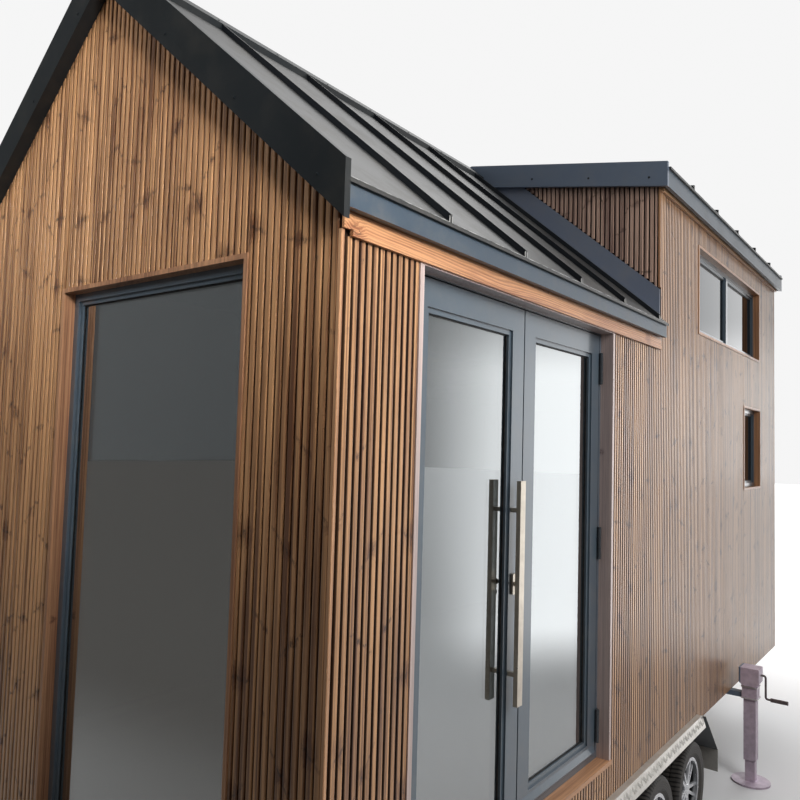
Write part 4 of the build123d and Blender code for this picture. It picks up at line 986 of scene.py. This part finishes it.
# Seam ends: each standing seam is cut square over the drip edge and closed with a bent tab.
# The tab shows bare zinc where the coating cracked in bending.
seams_per_slope = 5
main_seam_start, main_seam_pitch = front_x + 0.45, 0.495
dormer_seam_start, dormer_seam_pitch = dormer_x + 0.417, 0.535
tab_half, tab_thickness, tab_inset, tab_under, tab_over = 0.009, 0.0016, 0.0006, 0.006, 0.022
main_edge_y = abs(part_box("main_roof_near")[0].y)
dormer_edge_y = abs(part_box("dormer_roof_near")[0].y)
shape = bmesh.new()
for start, pitch, edge_y, roof in ((main_seam_start, main_seam_pitch, main_edge_y, main_roof),
                                   (dormer_seam_start, dormer_seam_pitch, dormer_edge_y, dormer_roof)):
    for index in range(seams_per_slope):
        seam_x = start + index * pitch
        for side in (-1, 1):
            tab_y = side * (edge_y - tab_inset)
            eased_block(shape, seam_x - tab_half, seam_x + tab_half, tab_y, tab_y - side * tab_thickness,
                        roof(edge_y) - tab_under, roof(edge_y) + tab_over, 0.0004)
shaped_piece("seam_end_tabs", shape, band_zinc, "house")

# Drip hems: the sheets end in a folded hem over the fascias, as thick as a pencil line.
# The hem is coloured near white, broken by dark patches along it: a painted highlight on the fold.
hem_highlight = dusty_material("hem_highlight", tone(222, 222, 218), tone(60, 64, 68), dust=0.1, roughness=0.35,
                           patch_size=0.05, metallic=0.4)
verge_overlap, cheek_gap = 0.024, 0.03
hem_width, hem_under, hem_over = 0.003, 0.001, 0.0022
hem_runs = ((main_edge_y, main_roof, verge_x + verge_overlap, dormer_x - cheek_gap),
            (dormer_edge_y, dormer_roof, dormer_verge_low.x + verge_overlap,
             dormer_verge_high.x - verge_overlap))
shape = bmesh.new()
for side in (-1, 1):
    for edge_y, roof, start, end in hem_runs:
        eased_block(shape, start, end, side * (edge_y - hem_width), side * edge_y, roof(edge_y) - hem_under,
                    roof(edge_y) + hem_over, 0.0008)
shaped_piece("drip_hems", shape, hem_highlight, "house")

# Dormer eaves strips: planed pine strips under the side fascias, which close the heads of the slats.
# They are nailed through into the wall plate.
strip_pine_level = wood_material("strip_pine_level", "X", Board_Width=0.3, Knot_Spacing=0.5,
                                 Light=tone(214, 172, 130), Dark=tone(150, 106, 74), Streaks=0.5)
strip_gap, strip_thickness, strip_height = 0.002, 0.018, 0.032
strip_top = under_dormer_roof(half_width) - 0.001
shape = bmesh.new()
for side in (-1, 1):
    eased_block(shape, dormer_x + strip_gap, rear_x - strip_gap, side * half_width,
                side * (half_width + strip_thickness), strip_top - strip_height, strip_top)
shaped_piece("dormer_eaves_strips", shape, strip_pine_level, "house")

# Stage: a plain floor that the camera sees pale. Metal and glass mirror it pale too, towards the far
# end, and the light that it throws back on the object is that of a grey floor.
stage_half = 60
stage_mesh = bpy.data.meshes.new("stage_floor")
corners = [(x * stage_half, y * stage_half, 0) for x, y in ((-1, -1), (1, -1), (1, 1), (-1, 1))]
stage_mesh.from_pydata(corners, [], [(0, 1, 2, 3)])
stage_floor = bpy.data.objects.new("stage_floor", stage_mesh)
scene.collection.objects.link(stage_floor)
floor_paint = new_material("pale_floor", Roughness=0.7, Emission_Color=(1, 1, 1, 1))
tree, shader = workings(floor_paint)
rays = add_node(tree, "ShaderNodeLightPath").outputs
seen = larger(tree, rays["Is Camera Ray"], larger(tree, rays["Is Glossy Ray"], rays["Is Transmission Ray"]))
place = place_on(tree)
reach = add_node(tree, "ShaderNodeVectorMath", {"operation": "LENGTH"})
tree.links.new(place, reach.inputs[0])
x, y, _ = axes(tree)
lit_side = smooth_step(tree, x, -6.0, 1.0)
shown = times(tree, smooth_step(tree, reach.outputs["Value"], 1.5, 5.5, 0.0, 0.7), rays["Is Camera Ray"])
door_x, door_y = -2.3, -1.2
# For glossy rays the floor also glows brightly in a wedge of bearings from the door: a painted reflection of
# a bright doorway.
from_door = maths(tree, "ARCTAN2", minus(tree, y, door_y), minus(tree, x, door_x))
painted_reflection_glow = smooth_step(tree, from_door, radians(-38), radians(-25), 0.15, 1.4)
mirrored = times(tree, smooth_step(tree, reach.outputs["Value"], 3.2, 5.6), painted_reflection_glow)
mirrored = times(tree, mirrored, rays["Is Glossy Ray"])
pale_share = larger(tree, lit_side, rays["Is Camera Ray"])
grey_floor, shaded_floor, white_floor = (0.2, 0.195, 0.19, 1), (0.28, 0.26, 0.24, 1), (0.86, 0.86, 0.87, 1)
pale = blend_colour(tree, pale_share, shaded_floor, white_floor)
tree.links.new(blend_colour(tree, seen, grey_floor, pale), shader.inputs["Base Color"])
tree.links.new(plus(tree, shown, times(tree, mirrored, lit_side)), shader.inputs["Emission Strength"])
stage_mesh.materials.append(floor_paint)


# Lamps: one large soft lamp over the door side, and two small ones that pick out the near front
# corner and the glazed gable. None of them is mirrored by the glass or the roof.
def soft_light(name, place, target, size, power, spread):
    """A square lamp that faces a point, with its beam spread in degrees."""
    lamp = bpy.data.objects.new(name, bpy.data.lights.new(name, "AREA"))
    scene.collection.objects.link(lamp)
    lamp.data.size = size
    lamp.data.energy = power
    lamp.data.spread = radians(spread)
    lamp.visible_glossy = False
    lamp.location = place
    lamp.rotation_euler = (Vector(target) - Vector(place)).to_track_quat("-Z", "Y").to_euler()


soft_light("door_side_light", (-2.2, -4.6, 4.4), (-2.0, -1.2, 2.0), 2.4, 106.0, 160)
soft_light("corner_light", (-4.7, -4.1, 3.9), (-3.4, 0.2, 3.2), 1.2, 17.5, 50)
soft_light("gable_light", (-6.2, 1.4, 4.2), (-3.4, 0.6, 3.3), 1.6, 8.0, 58)

# Sky: a gentle white, brighter towards the far end, with a bright band low down on that side for
# the panes to mirror. The camera, and what is seen through glass, gets it almost at full strength.
seen_level = 0.92
world = bpy.data.worlds.new("studio")
scene.world = world
world.use_nodes = True
tree = world.node_tree
sky = tree.nodes["Background"]
x, y, z = axes(tree, "Generated")
bearing = maths(tree, "ARCTAN2", y, x)
ambient = times(tree, smooth_step(tree, x, -1.0, 0.3, 0.07, 0.3), smooth_step(tree, z, -0.2, 1.0, 0.75, 1.25))
low_band = times(tree, smooth_step(tree, bearing, radians(-38), radians(-26)),
                 smooth_step(tree, bearing, radians(60), radians(20)))
low_band = times(tree, low_band, smooth_step(tree, z, 0.17, 0.09, 0.5, 1.0))
low_band = times(tree, low_band, smooth_step(tree, bearing, radians(-22), radians(-8), 1.9, 3.0))
level = plus(tree, low_band, ambient)
rays = add_node(tree, "ShaderNodeLightPath").outputs
seen = larger(tree, rays["Is Camera Ray"], rays["Is Transmission Ray"])
level = maths(tree, "MULTIPLY_ADD", seen, minus(tree, seen_level, level), level)
tree.links.new(level, sky.inputs["Strength"])
sky.inputs["Color"].default_value = (1, 1, 1, 1)
